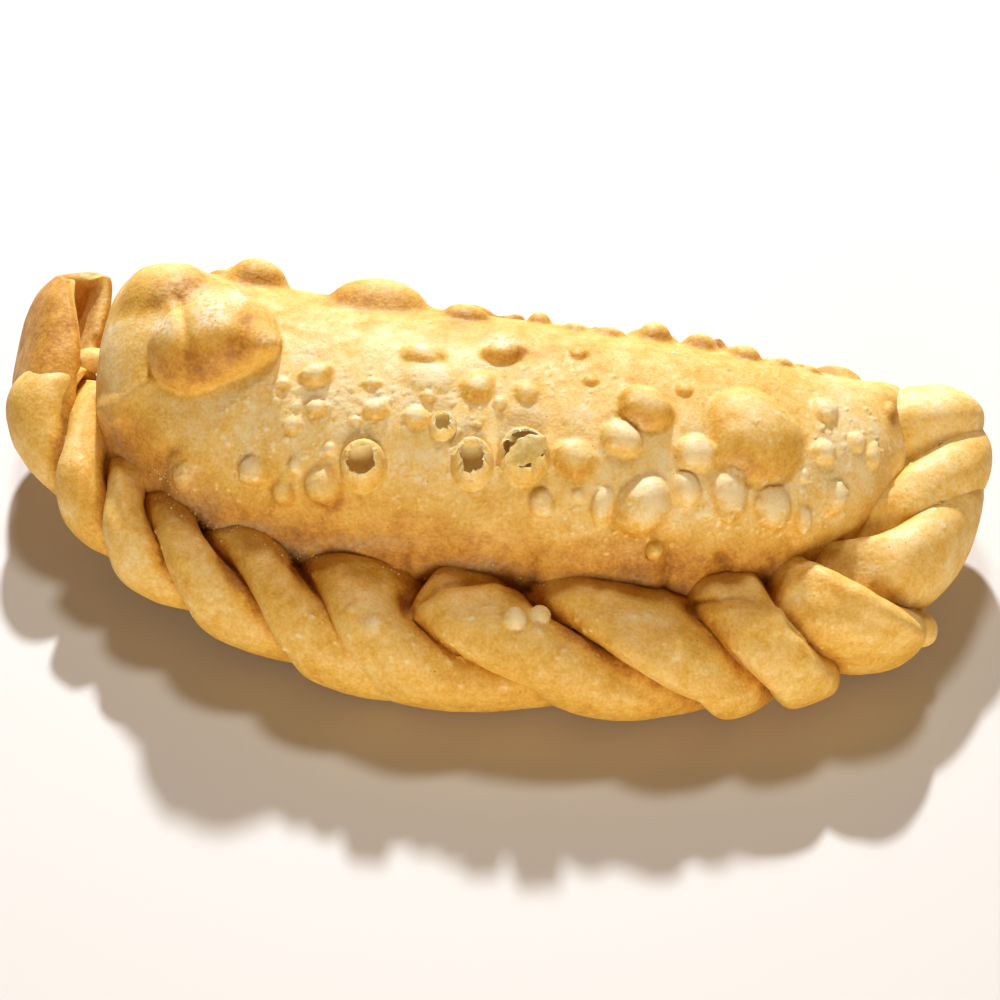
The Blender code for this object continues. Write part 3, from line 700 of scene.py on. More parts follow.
def add_pimples(skin, swarms, seed):
    """Each pimple is a dome (1 - (d / r)^2)^2 of the distance d from its middle."""
    draw = np.random.default_rng(seed)
    pixels = in_photo(skin.grid)
    normals = grid_normals(skin.grid)
    facing = (normals * (EYE - skin.grid)).sum(axis=-1) > 0
    moved = skin.grid.copy()
    for *oval, count in swarms:
        place = oval_distance(pixels, *oval)
        choice = np.flatnonzero((facing & (place < 1)).ravel())
        for pick in draw.choice(choice, count, replace=False):
            row, column = np.unravel_index(pick, place.shape)
            radius = PIMPLE_RADIUS[0] + (PIMPLE_RADIUS[1] - PIMPLE_RADIUS[0]) * draw.uniform()**2
            rows, columns = skin.patch(row, column, radius)
            away = np.linalg.norm(skin.grid[rows, columns] - skin.grid[row, column], axis=-1)
            dome = np.clip(1 - (away / radius)**2, 0, 1)**2
            rise = dome * radius * draw.uniform(*PIMPLE_RISE)
            moved[rows, columns] += rise[..., None] * normals[rows, columns]
            skin.add_tint("toast_and_shade", rows, columns, -dome * draw.uniform(0.1, 0.9))
    skin.grid = moved


def wave_heights(grid, waves, seed):
    """Sum of smooth noise of several sizes, each times its height."""
    return sum(height * soft_noise(grid, size, seed + k) for k, (size, height) in enumerate(waves))


def add_waves(skin, waves, seed):
    """Moves each point along its normal by the height of the waves there."""
    skin.grid = skin.grid + wave_heights(skin.grid, waves, seed)[..., None] * grid_normals(skin.grid)


add_pimples(crust, SWARMS, 11)
add_waves(crust, WAVES, 21)
print("pimples:", sum(row[-1] for row in SWARMS))

# %% [markdown]
# ## Burst blisters
#
# Four blisters burst in the oil and left open cups. Their walls are no thicker than the cells
# of the belly are long, so each is a small grid of its own: rings round the middle of the hole,
# from under the skin up the outside, over a torn rim, down the inside wall and across the floor.
# The belly is pressed down under each cup, so that its floor can lie lower than the skin round it.

# %% Turn the burst blisters
# place in the photo, width and height of the cup, width and height of the hole in pixels, rise
# in millimetres and how ragged the rim is
BURST_BLISTERS = (
    (361, 470, 48, 54, 30, 27, 1.9, 0.22), (446, 427, 28, 28, 16, 18, 0.9, 0.28),
    (469, 465, 43, 52, 27, 31, 1.8, 0.30), (522, 456, 53, 57, 37, 38, 2.0, 0.26),
)
CUP_SPOKES = 120        # points round a cup, and rings from its foot to the middle of its floor
CUP_RINGS = 90
CUP_PRESS = 1.3         # millimetres that the belly is pressed down under a cup
CUP_LEAN = 0.5          # how far the rim is shifted up the belly, as a share of the rise
CUP_LEAST_TILT = 0.7    # a cup is stretched no more than this allows
# a ring a row, from outside under the skin to the middle of the floor: share of the way from the
# hole's edge (0) to the foot (1), share of the hole's radius, and height: shares of the rise
# and then millimetres
CUP_PROFILE = (
    (1.20, 1.0, 0.0, -1.60), (1.14, 1.0, 0.0, -0.90), (1.07, 1.0, 0.0, -0.35), (1.0, 1.0, 0.08, 0.0),
    (0.90, 1.0, 0.30, 0.0), (0.74, 1.0, 0.58, 0.0), (0.52, 1.0, 0.80, 0.0), (0.26, 1.0, 0.94, 0.0),
    (0.08, 1.0, 1.02, 0.0), (0.0, 1.0, 1.02, 0.0), (0.0, 1.0, 0.95, 0.0), (0.10, 1.0, 0.85, 0.0),
    (0.24, 1.0, 0.62, 0.0), (0.30, 1.0, 0.3, 0.0), (0.24, 1.0, 0.05, -0.2), (0.0, 0.96, 0.0, -0.50),
    (0.0, 0.75, 0.0, -0.62), (0.0, 0.4, 0.0, -0.66), (0.0, 0.0, 0.0, -0.68),
)
RIM_RING = 8.8          # rows of that profile: the rim, half way up the outside, and the floor
SLOPE_RING = 4.6
FLOOR_RING = 14.0


def torn_line(turn, seed, bites):
    """A torn edge: straight pieces between random heights at random places round a circle."""
    draw = np.random.default_rng(seed)
    places = np.sort(draw.uniform(0, 2 * np.pi, bites))
    heights = draw.uniform(-1, 1, bites)
    return np.interp(turn, places, heights, period=2 * np.pi)


def cup_tints(rings, turn):
    """Browner low on the outside, as painted shade, paler inside and on the floor, as painted light
    against the shade in the hole, and a dry pale rim.
    """
    every_spoke = np.ones(CUP_SPOKES)
    lower = (0.5 - 0.5 * np.sin(turn))[None]
    inside = ease(rings, RIM_RING + 0.8, RIM_RING + 3)[:, None] * every_spoke
    slope = bell(rings - SLOPE_RING, 2.2)[:, None]
    on_floor = ease(rings, FLOOR_RING, FLOOR_RING + 1.5)[:, None]
    rim = bell(rings - RIM_RING, 0.9)[:, None] * every_spoke
    return {"toast_and_shade": -0.15 * inside - 0.10 * on_floor + 0.35 * lower * slope - 0.4 * rim,
            "flake": 0.9 * rim}


def cup_grid(skin, px, py, wide, tall, hole_wide, hole_tall, rise, ragged, seed):
    """Rings of a cup: each ring's radius and height come from the profile; near the rim both
    follow a torn edge, and the whole cup is an ellipse where the photo's is."""
    row, column = skin.under_pixel((px, py))
    middle = skin.grid[row, column].copy()
    normal, along, over = skin.frame_at(row, column, 2.5)
    hole, foot = (width * pixel_size(middle) / 2 for width in (hole_wide, wide))
    turn = np.linspace(0, 2 * np.pi, CUP_SPOKES, endpoint=False)
    rings = np.linspace(0, len(CUP_PROFILE) - 1, CUP_RINGS)
    profile = smooth_between(rings, np.arange(len(CUP_PROFILE)), CUP_PROFILE)
    out_share, hole_share, height_share, drop = profile.T[..., None]
    near_rim = bell(rings - RIM_RING, 2.6)[:, None]
    torn = 0.7 * torn_line(turn, seed, 34) + 0.6 * torn_line(turn, seed + 50, 10)
    radius = hole_share * hole * (1 + ragged * near_rim * torn) + out_share * (foot - hole)
    tall_share = tall / wide * out_share + hole_tall / hole_wide * (1 - out_share)
    stretch = tall_share / max(seen_length(over), CUP_LEAST_TILT)
    rim_drop = ragged * near_rim * (0.7 * torn_line(turn, seed + 90, 17) - 0.3 * np.sin(turn))
    lift = height_share * rise * (1 + rim_drop) + drop
    lean = np.where(rings[:, None] > RIM_RING, 1, np.clip(height_share, 0, 1)) * rise * CUP_LEAN
    grid = (middle + (radius * np.cos(turn))[..., None] * along
            + (radius * stretch * np.sin(turn) + lean)[..., None] * over + lift[..., None] * normal)
    press_down(skin, middle, normal, hole, foot)
    tints = {name: values[::-1] for name, values in cup_tints(rings, turn).items()}
    return grid[::-1], tints, skin.patch(row, column, foot)


def press_down(skin, middle, normal, hole, foot):
    """Lowers the skin under a cup by a smooth step between the hole's edge and the foot."""
    away = skin.grid - middle
    flat = np.linalg.norm(away - (away @ normal)[..., None] * normal, axis=-1)
    near = np.linalg.norm(away, axis=-1) < 2 * foot
    depth = CUP_PRESS * (1 - ease(flat, hole, foot)) * near
    skin.grid = skin.grid - depth[..., None] * normal


# %% [markdown]
# ## Torn leaves of skin
#
# Scraps of the burst skin still hang on: one large leaf lies across the right cup, and small
# ones stand on the rims. A leaf is a thin sheet, pointed at both ends, bowed along and across,
# with a torn edge.

# %% Cut the leaves
# place of the middle in the photo, length and width in millimetres, degrees from the photo's
# right, height over the skin, how much it bows up, and how much its far end lifts
LEAVES = (
    (525, 452, 5.8, 3.0, 222, 2.35, 0.35, 0.5), (452, 449, 1.4, 0.8, 40, 1.3, 0.2, 0.3),
    (501, 465, 1.5, 0.9, 15, 0.8, 0.15, 0.3), (511, 445, 1.8, 0.8, 150, 1.5, 0.15, 0.2),
    (466, 481, 1.6, 0.6, -10, 1.3, 0.1, 0.1),
)
LEAF_LONG = 44          # points along a leaf and across it
LEAF_WIDE = 22
LEAF_THICK = 0.10
LEAF_TORN = 0.14        # how far the edge strays, as a share of the half width, and at how many
LEAF_TEARS = 15         # places along the leaf


def leaf_sheet(skin, px, py, length, width, degrees, height, bow, lift, seed):
    """Both faces of a leaf: its half width is a rounded almond of the place along it, torn at
    the edge; it bows like an arch across and rises towards its far end."""
    row, column = skin.under_pixel((px, py))
    pixel_point = skin.grid[row, column]
    normal, along, over = skin.frame_at(row, column, 3.0)
    turn = np.radians(degrees)
    ahead = np.cos(turn) * along + np.sin(turn) * over
    aside = np.cross(normal, ahead)
    u = np.linspace(-1, 1, LEAF_LONG)[:, None]
    v = np.linspace(-1, 1, LEAF_WIDE)[None]
    draw = np.random.default_rng(seed)
    tears = draw.uniform(-1, 1, LEAF_TEARS)
    torn = 1 + LEAF_TORN * np.interp(u, np.linspace(-1, 1, LEAF_TEARS), tears)
    half = np.maximum((1 - u**2)**0.6 * torn, 0.02) * width / 2
    rise = height + bow * (1 - v**2) * (1 - 0.5 * u**2) + lift * np.maximum(u, 0)**2
    top = (pixel_point + (u * length / 2 + 0 * v)[..., None] * ahead
           + (v * half)[..., None] * aside + rise[..., None] * normal)
    return top, top - LEAF_THICK * normal


def sheet_quads(rows, columns, first=0):
    """Quads of a sheet's two faces, joined by strips along their rims."""
    number = first + np.arange(rows * columns).reshape(rows, columns)
    under = number + rows * columns
    rim = np.r_[number[0], number[1:, -1], number[-1, -2::-1], number[-2:0:-1, 0]]
    low = rim + rows * columns
    return np.concatenate([
        np.stack([number[:-1, :-1], number[1:, :-1], number[1:, 1:], number[:-1, 1:]], -1).reshape(-1, 4),
        np.stack([under[:-1, :-1], under[:-1, 1:], under[1:, 1:], under[1:, :-1]], -1).reshape(-1, 4),
        np.stack([rim, np.roll(rim, -1), np.roll(low, -1), low], -1)])


leaf_faces = []
leaf_points = []
for number, row in enumerate(LEAVES):
    top, under = leaf_sheet(crust, *row, seed=60 + number)
    leaf_faces.append(sheet_quads(LEAF_LONG, LEAF_WIDE, number * 2 * LEAF_LONG * LEAF_WIDE))
    leaf_points += [top.reshape(-1, 3), under.reshape(-1, 3)]
leaf_points = np.concatenate(leaf_points)
cups = [cup_grid(crust, *row, seed) for seed, row in enumerate(BURST_BLISTERS, 40)]
print("cut", len(LEAVES), "leaves and turned", len(cups), "cups of", cups[0][0].shape, "points")

# %% [markdown]
# ## Flour, toast and painted shade on the belly
#
# Flour from rolling the rope stays in a band just above it. The skin is darkest low down, where
# the fried tone is deepened with painted shade, darker along the rope, where the crease is
# painted with shade, somewhat darker on the crown, and palest on the slope between them. Both are
# painted as tints on the grid.

# %% Tint the belly
# the line in the photo where the belly dives behind the rope
ROPE_FOOT = (
    (95, 360), (115, 450), (160, 495), (215, 530), (310, 562), (350, 553), (410, 605), (441, 579),
    (490, 572), (545, 592), (600, 588), (680, 595), (745, 590), (805, 568), (865, 535), (885, 480),
    (890, 440), (910, 398),
)
# what is added low down is fried tone and painted shade, and along the rope painted shade
SKIN_TOAST = -0.14      # of the skin everywhere, and what is added low down, on the crown and
LOW_TOAST_AND_SHADE = 1.15        # along the rope
CROWN_TOAST = 0.48
ROPESIDE_SHADE = 0.25
ROPESIDE_FLOUR = 0.45
# patches of flour or dry dough in the photo: middle, half width, half height, strength
FLOUR_PATCHES = (
    (205, 502, 26, 16, 0.6), (245, 528, 40, 9, 0.8), (300, 548, 26, 9, 0.7), (372, 543, 46, 8, 0.7),
    (455, 566, 50, 8, 0.6), (176, 474, 10, 12, 0.3), (600, 580, 50, 8, 0.3), (188, 486, 10, 8, 0.4),
)
# patches that are browner (or, below zero, paler) than the skin round them: partly the fried
# tone, partly painted shade on the big blister's low side, the left flank and low on the belly
TOAST_AND_SHADE_PATCHES = (
    (195, 364, 42, 22, 0.90), (238, 345, 24, 16, 0.75), (246, 320, 12, 9, 0.45), (205, 328, 44, 30, 0.62),
    (140, 400, 34, 50, 0.40), (221, 424, 10, 8, 0.55), (775, 440, 30, 30, 0.35), (150, 465, 26, 30, -0.20),
    (116, 418, 14, 16, 0.20), (330, 300, 50, 10, 0.25), (480, 318, 40, 10, 0.35), (270, 300, 16, 12, -0.1),
    (640, 560, 60, 22, 0.15), (740, 560, 60, 26, 0.15), (300, 400, 60, 30, -0.10), (545, 342, 80, 20, 0.22),
    (838, 405, 36, 30, -0.35), (430, 372, 60, 26, -0.15), (895, 415, 8, 16, 0.8), (720, 560, 10, 14, 0.2),
    (665, 575, 8, 20, 0.2), (575, 480, 30, 16, 0.25), (485, 500, 24, 14, 0.3), (340, 500, 40, 14, 0.3),
)
# dry pale flakes on blisters
FLAKE_PATCHES = (
    (163, 328, 11, 10, 1.7), (211, 312, 14, 16, 1.9), (238, 297, 9, 9, 1.4), (266, 338, 9, 6, 0.9),
    (633, 425, 10, 8, 0.9), (650, 486, 15, 18, 0.9), (700, 433, 10, 7, 0.5), (735, 470, 12, 10, 0.7),
    (777, 488, 13, 10, 0.7), (499, 341, 14, 6, 1.3), (424, 347, 12, 5, 0.6), (604, 493, 8, 8, 0.5),
    (688, 477, 8, 7, 0.5), (250, 461, 8, 7, 0.8), (310, 356, 14, 5, 0.8), (542, 495, 8, 8, 0.5),
    (180, 290, 30, 12, 0.4), (838, 400, 24, 20, 0.35), (380, 462, 8, 8, 0.5), (390, 462, 14, 8, 0.3),
    (423, 481, 4, 6, 1.6), (545, 512, 6, 5, 0.8), (396, 498, 4, 5, 0.8), (188, 470, 12, 6, 0.8),
)


def tint_patches(skin, tint, patches):
    """Adds bell-shaped patches in the photo's plane where the skin faces the camera."""
    pixels = in_photo(skin.grid)
    facing = facing_eye(skin.grid)
    for *oval, strength in patches:
        skin.tints[tint] += strength * bell(oval_distance(pixels, *oval), 1) * facing


def tint_belly(skin):
    """Adds smooth steps of the angle over the belly and bell curves of the distance to the rope."""
    to_rope = pixels_to_line(in_photo(skin.grid), ROPE_FOOT)
    low_skin = 1 - ease(np.degrees(belly_angle), 2, 46)
    crown = ease(np.degrees(belly_angle), 68, 100)
    # darker low down and along the rope: painted shade, added to the fried tone low down
    skin.tints["toast_and_shade"] += (SKIN_TOAST + LOW_TOAST_AND_SHADE * low_skin + CROWN_TOAST * crown
                            + ROPESIDE_SHADE * bell(to_rope, 9))
    skin.tints["flour"] += ROPESIDE_FLOUR * bell(to_rope, 12) * facing_eye(skin.grid)


tint_belly(crust)
tint_patches(crust, "flour", FLOUR_PATCHES)
tint_patches(crust, "toast_and_shade", TOAST_AND_SHADE_PATCHES)
tint_patches(crust, "flake", FLAKE_PATCHES)
print("toast runs from", crust.tints["toast_and_shade"].min().round(2), "to", crust.tints["toast_and_shade"].max().round(2))

# %% [markdown]
# ## The rope edge
#
# Each fold of the rope is tucked over the last one, so it stands plump between two creases,
# steep where it lies on top of its neighbour and slow where it dives under the next. The
# creases run slantwise round the rope. Rows of the grid follow the creases, so a crease stays
# sharp however it bends.

# %% Roll the rope
# the rope's middle, from the left tip round the front to the right tip, and its girth there
ROPE_PATH = (
    (-55.0, 27.0, 17.5, 0.72), (-56.2, 18.0, 15.0, 0.72), (-54.2, 8.5, 12.6, 0.71),
    (-47.8, -0.4, 10.5, 0.68), (-41.2, -6.8, 9.6, 0.65), (-34.6, -10.9, 9.0, 0.69),
    (-23.5, -14.9, 8.4, 0.84), (-6.0, -18.9, 8.0, 0.98), (10.7, -18.1, 8.0, 0.97),
    (28.8, -16.5, 8.0, 0.99), (39.5, -13.0, 8.0, 0.99), (47.0, -6.9, 8.5, 0.96),
    (52.6, 1.5, 9.3, 0.92), (55.4, 10.0, 11.0, 0.90), (55.3, 18.0, 13.3, 0.92),
    (53.9, 24.8, 16.1, 0.95),
)
ROPE_OUT = 6.8          # half sizes of the rope where its girth is 1
ROPE_IN = 10.0
ROPE_UP = 6.6
ROPE_DOWN = 6.8
ROPE_SQUARE = 2.4       # power of the superellipse: 2 would be round, and more is squarer
ROPE_STEPS = 900        # points along its middle line
# a crease a row: place along the rope on the inner side, above and at the front, depth on the
# inner side and at the front, swelling of the fold after it, and which fold lies on top: the one
# after it (1), the one before it (-1) or neither (0)
ROPE_CREASES = (
    (19.9, 26.7, 30.7, 2.0, 1.2, 0.8, 1), (31.8, 37.0, 40.2, 2.2, 1.2, 0.8, 1),
    (41.0, 46.3, 51.2, 2.4, 1.4, 0.8, 1), (52.0, 58.8, 65.0, 3.0, 1.0, 0.9, 1),
    (64.2, 69.7, 75.9, 2.6, -0.6, 0.9, 1), (78.9, 81.4, 93.4, 3.2, 0.6, 1.0, 1),
    (94.0, 101.1, 111.4, 2.6, 1.7, 1.1, 1), (113.1, 115.6, 120.0, 2.2, 1.7, 1.1, 1),
    (123.4, 123.9, 127.5, 1.6, 1.2, 2.6, -1), (131.6, 133.6, 138.4, 1.6, 0.6, 0.2, -1),
    (138.4, 150.2, 155.4, 0.9, -0.7, 0.7, 0), (154.8, 159.6, 162.9, 1.0, -0.6, 0.7, 0),
)
CREASE_INNER = 120.0    # degrees round the rope of a crease's inner place; its front place is at 0
SHOWN_FROM = -80.0      # degrees between which the creases run slantwise
SHOWN_TO = 150.0
ROPE_START = 13.0       # where the rope leaves the cornet, and how far its ends are rounded off
LEFT_END_ROUND = 6.0
RIGHT_END_ROUND = 8.0


def rope_line():
    """The rope's middle and girth at closely spaced places, with their distance along it."""
    path = np.array(ROPE_PATH)
    knots = np.r_[0, np.cumsum(np.linalg.norm(np.diff(path[:, :3], axis=0), axis=1))]
    points = smooth_between(np.linspace(0, knots[-1], ROPE_STEPS), knots, path)
    return points, np.r_[0, np.cumsum(np.linalg.norm(np.diff(points[:, :3], axis=0), axis=1))]


print("the rope is", rope_line()[1][-1].round(1), "mm long and has", len(ROPE_CREASES) + 1, "folds")

# %% Swell the folds between the creases
FOLD_CREST = 0.9        # rise of a fold on the inner side of the rope, in millimetres
FOLD_STEEP = 0.34       # share of a fold in which it drops where it lies on top
FOLD_LIP = 0.9          # how far such an edge hangs over the crease
FOLD_BULGE = 0.7        # how much its middle swells past the crest


def crease_place(inner, above, front, degrees):
    """Distance along the rope of a crease at an angle round it: a parabola through its three
    places, straight on under the rope, and a smooth step back on the side inside the belly."""
    def shown(angle):
        q = (CREASE_INNER - angle) / CREASE_INNER
        r = np.minimum(q, 1)
        curve = inner * (1 - r) * (1 - 2 * r) + 4 * above * r * (1 - r) + front * r * (2 * r - 1)
        return curve + (q - r) * (front - above)

    weight = ease((degrees - SHOWN_TO) / (360 + SHOWN_FROM - SHOWN_TO), 0, 1)
    return shown(np.minimum(degrees, SHOWN_TO)) * (1 - weight) + shown(SHOWN_FROM) * weight


def fold_skin(fold, degrees, length):
    """Place along the rope and height of its relief. Between two creases the skin stands at the
    fold's crest and sinks to both: in a quarter circle that leans outwards where this fold lies
    on top, and in a slow square curve where it dives under its neighbour. The rope's ends are
    creases without any depth."""
    level = (-FOLD_CREST, -FOLD_CREST, FOLD_CREST, 0)
    rows = np.array([(ROPE_START,) * 3 + level, *ROPE_CREASES, (length,) * 3 + level])
    k = np.clip(fold.astype(int), 0, len(rows) - 2)
    t = fold - k
    weight = np.clip((CREASE_INNER - degrees) / CREASE_INNER, 0, 1)
    crest = FOLD_CREST * (1 - weight) + rows[k, 5] * weight

    def sink(row, reach, on_top):
        inner, above, front, deep, deep_front = np.moveaxis(row[..., :5], -1, 0)
        deep = deep * (1 - weight) + deep_front * weight
        steep = 1 - np.sqrt(1 - np.clip(1 - reach / FOLD_STEEP, 0, 1)**2)
        slow = np.clip(1 - reach / (1 - FOLD_STEEP), 0, 1)**2
        slow = np.where(row[..., 6] == 0, ease(slow, 0, 1), slow)
        lean = np.sin(np.pi * np.clip(reach / (2 * FOLD_STEEP), 0, 1))**2
        lip = FOLD_LIP * np.clip(deep / 2, 0, 1) * np.where(on_top, lean, 0)
        drop = (crest + deep) * np.where(on_top, steep, slow)
        return crease_place(inner, above, front, degrees), drop, lip

    start, sink_left, lip_left = sink(rows[k], t, rows[k, 6] > 0)
    end, sink_right, lip_right = sink(rows[k + 1], 1 - t, rows[k + 1, 6] < 0)
    seen = ease(degrees, -95, -5) * (1 - ease(degrees, 160, 190))
    s = start + (end - start) * t + seen * (lip_right - lip_left)
    return s, (crest - sink_left - sink_right + FOLD_BULGE * (1 - (2 * t - 1)**2)) * seen


crests = fold_skin(np.arange(len(ROPE_CREASES) + 1) + 0.5, 60.0, rope_line()[1][-1])[1]
print("the folds stand up to", crests.max().round(1), "mm over the rope")

# %% Wrap the skin round the rope
FOLD_CELLS = 48         # rows in a fold, and points round the rope
ROPE_RING = 110
ROPE_HIDDEN = 0.3       # points a millimetre on the hidden skin, as a share of those that show
EDGE_CELLS = 0.10       # how far the rows are drawn towards the creases
# what is added in the creases and low down is painted shade
ROPE_TOAST = 0.26       # of the rope everywhere, and what is added in its creases and low down
CREASE_SHADE = 0.80
UNDERSIDE_SHADE = 0.42


def rope_skin(s, degrees, relief):
    """Point of the rope's skin at distance s along it and an angle round it, 0 outwards and 90
    up: a superellipse across the rope's line, grown by the relief and rounded off at both ends."""
    line, along = rope_line()
    length = along[-1]
    s = np.clip(s, 0, length)

    def at(place, column):
        return np.interp(np.clip(place, 0, length), along, line[:, column])

    angle = np.radians(degrees)
    middle = np.stack([at(s, i) for i in range(3)], axis=-1)
    forward = unit(np.stack([at(s + 0.5, i) - at(s - 0.5, i) for i in range(3)], axis=-1))
    out = unit(np.stack([forward[..., 1], -forward[..., 0], np.zeros_like(s)], axis=-1))
    up = np.cross(out, forward)
    wide = np.where(np.cos(angle) > 0, ROPE_OUT, ROPE_IN)
    tall = np.where(np.sin(angle) > 0, ROPE_UP, ROPE_DOWN)
    reach = (np.abs(np.cos(angle) / wide)**ROPE_SQUARE
             + np.abs(np.sin(angle) / tall)**ROPE_SQUARE)**(-1 / ROPE_SQUARE)
    left = np.clip((s - ROPE_START) / LEFT_END_ROUND, 0, 1)
    right = np.clip((length - s) / RIGHT_END_ROUND, 0, 1)
    close = np.sqrt(1 - (1 - left)**2) * np.sqrt(1 - (1 - right)**2)
    radius = (reach * at(s, 3) + relief) * close
    across = np.cos(angle)[..., None] * out + np.sin(angle)[..., None] * up
    skin = middle + radius[..., None] * across - MIDDLE
    skin[..., 2] = np.maximum(skin[..., 2], 0.0)
    return skin


def rope_grid():
    """Rows in equal number in each fold, closer together at its creases by a sine, and points
    round the rope at distances that grow where the skin can't be seen."""
    folds = len(ROPE_CREASES) + 1
    share = np.linspace(0, 1, FOLD_CELLS, endpoint=False)
    share = share - EDGE_CELLS * np.sin(2 * np.pi * share)
    fold = np.r_[(np.arange(folds)[:, None] + share).ravel(), folds - 1e-9]
    degrees = np.linspace(0, 1, 2000) * 360 - 90
    seen = ROPE_HIDDEN + (1 - ROPE_HIDDEN) * ease(degrees, -80, -50) * (1 - ease(degrees, 130, 160))
    round_line = np.stack([np.cos(np.radians(degrees)), np.sin(np.radians(degrees))], axis=-1)
    degrees = even_places(round_line, ROPE_RING + 1, seen[1:])[:-1] * 360 - 90
    fold, degrees = np.meshgrid(fold, degrees, indexing="ij")
    s, relief = fold_skin(fold, degrees, rope_line()[1][-1])
    return rope_skin(s, degrees, relief), relief, degrees


rope_points, rope_relief, rope_degrees = rope_grid()
rope = Skin(rope_points)
# darker in the creases and on the underside: painted shade
rope.tints["toast_and_shade"] += ROPE_TOAST + CREASE_SHADE * ease(-rope_relief, -0.3, 1.8)
rope.tints["toast_and_shade"] += UNDERSIDE_SHADE * (1 - ease(rope_degrees, -50, 20))
print("the rope's skin has", rope_points.shape[:2], "points")

# %% [markdown]
# ## Blisters and waves on the rope
#
# The rope's dough is thicker, so it stays smoother than the belly. Two pearl-like blisters and
# four flatter ones sit on its middle folds, fine ridges and grooves follow the edges of the
# folds, with painted shade along them, and a few pimples and soft waves cover the rest.

# %% Raise the rope's own blisters
# balls, swarms and waves are listed as they were for the belly
ROPE_BALLS = (
    (513, 611, 23, 23, 1.0, 102, 0, -1.0, 1.2), (541, 610, 20, 21, 1.0, 102, 0, -1.0, 1.2),
    (541, 629, 11, 11, 0.7, 88, 0, -0.4, 0.5), (598, 681, 11, 11, 0.5, 80, 0, -0.4, 0.5),
    (353, 605, 16, 14, 0.35, 70, 0, -0.2, 0.5), (370, 625, 22, 26, 0.2, 66, 0, -0.2, 0.5),
)
ROPE_SWARMS = (
    (370, 640, 90, 40, 18), (480, 650, 90, 45, 20), (640, 640, 90, 45, 18), (800, 640, 80, 45, 14),
    (180, 560, 70, 60, 16), (930, 480, 40, 70, 10),
)
ROPE_WAVES = ((8.0, 0.25), (3.0, 0.10), (1.2, 0.035))
# ridges and grooves along the folds: line in the photo, half width in pixels, height, and
# painted shade along the fold edges, which is paler below zero
ROPE_LINES = (
    (((425, 590), (450, 582), (500, 582), (524, 590)), 9, 0.0, 0.3),
    (((555, 600), (610, 600), (660, 608)), 7, 0.0, 0.2),
    (((560, 615), (575, 635), (600, 655)), 10, 0.0, 0.3),
    (((650, 628), (680, 632), (700, 650)), 12, 0.0, 0.15),
    (((700, 608), (740, 604), (765, 610)), 10, 0.0, 0.25),
    (((770, 590), (800, 576), (830, 582)), 9, 0.0, 0.25),
    (((320, 575), (345, 566), (380, 572)), 10, 0.0, 0.15),
    (((95, 385), (85, 430), (80, 480)), 9, 0.0, 0.15),
    (((150, 505), (165, 540), (190, 590)), 9, 0.0, 0.15),
    (((225, 545), (240, 580), (270, 630)), 9, 0.0, 0.15),
    (((890, 500), (900, 470), (905, 440)), 9, 0.0, 0.25),
    (((870, 540), (900, 520), (925, 500)), 8, 0.0, 0.15),
    (((418, 603), (445, 586), (495, 580), (528, 590)), 3, -0.45, 0.25),
    (((415, 615), (445, 596), (495, 590), (528, 600)), 7, 0.35, -0.05),
    (((548, 598), (600, 596), (682, 602)), 7, 0.35, -0.05),
    (((690, 603), (738, 598), (754, 604)), 3, -0.4, 0.25),
    (((700, 612), (745, 610), (778, 614)), 7, 0.35, -0.05),
    (((781, 600), (786, 622), (800, 640)), 6, 0.3, 0.0),
    (((790, 590), (815, 572), (865, 602), (916, 632)), 9, 0.7, -0.05),
    (((800, 625), (850, 650), (900, 665)), 14, -0.5, 0.1),
    (((312, 575), (345, 560), (380, 566), (402, 590)), 7, 0.35, 0.0),
    (((345, 590), (360, 612)), 7, -0.3, 0.05), (((385, 590), (380, 620)), 8, 0.3, -0.05),
    (((362, 640), (378, 665)), 9, -0.35, 0.05), (((214, 536), (240, 530), (266, 534)), 7, 0.4, 0.0),
    (((222, 560), (235, 580)), 6, -0.5, 0.2), (((296, 566), (305, 582)), 6, -0.5, 0.2),
    (((404, 592), (408, 612)), 5, -0.4, 0.2), (((150, 498), (160, 520), (180, 560)), 8, 0.35, 0.0),
    (((108, 448), (118, 470), (128, 510)), 7, 0.3, 0.0), (((80, 470), (90, 520)), 10, 0.3, 0.0),
    (((130, 508), (140, 504)), 4, -0.25, 0.1), (((560, 640), (600, 665), (640, 690)), 10, -0.3, 0.05),
    (((620, 640), (660, 670)), 10, 0.3, 0.0), (((470, 640), (520, 670)), 12, -0.3, 0.05),
    (((905, 560), (935, 520)), 16, 0.3, 0.0), (((905, 470), (950, 452)), 10, 0.3, -0.05),
    (((905, 515), (925, 505)), 10, 0.3, -0.05),
)
# patches that are paler, below zero, as painted light where the folds and the right end catch
# the lamps, or browner, as painted shade lower down
ROPE_PATCHES = (
    (935, 420, 40, 50, -0.45), (930, 485, 40, 40, -0.35), (905, 545, 40, 30, -0.20),
    (850, 625, 26, 16, -0.25), (370, 620, 14, 28, -0.30), (395, 590, 10, 14, -0.2),
    (480, 625, 26, 14, -0.15), (735, 660, 26, 20, -0.15), (85, 440, 12, 40, -0.15),
    (600, 690, 60, 16, 0.1), (440, 690, 60, 14, 0.05), (790, 600, 16, 10, -0.2),
    (140, 560, 16, 30, -0.15), (640, 618, 34, 14, -0.25), (85, 470, 22, 44, 0.30),
    (850, 620, 40, 30, 0.1),
)


for ridge in ROPE_LINES:
    press_line(rope, *ridge)
tint_patches(rope, "toast_and_shade", ROPE_PATCHES)
raise_in_photo(rope, ROPE_BALLS, 0.2, 0.04)
add_pimples(rope, ROPE_SWARMS, 12)
add_waves(rope, ROPE_WAVES, 31)
print("the rope carries", len(ROPE_BALLS), "blisters")

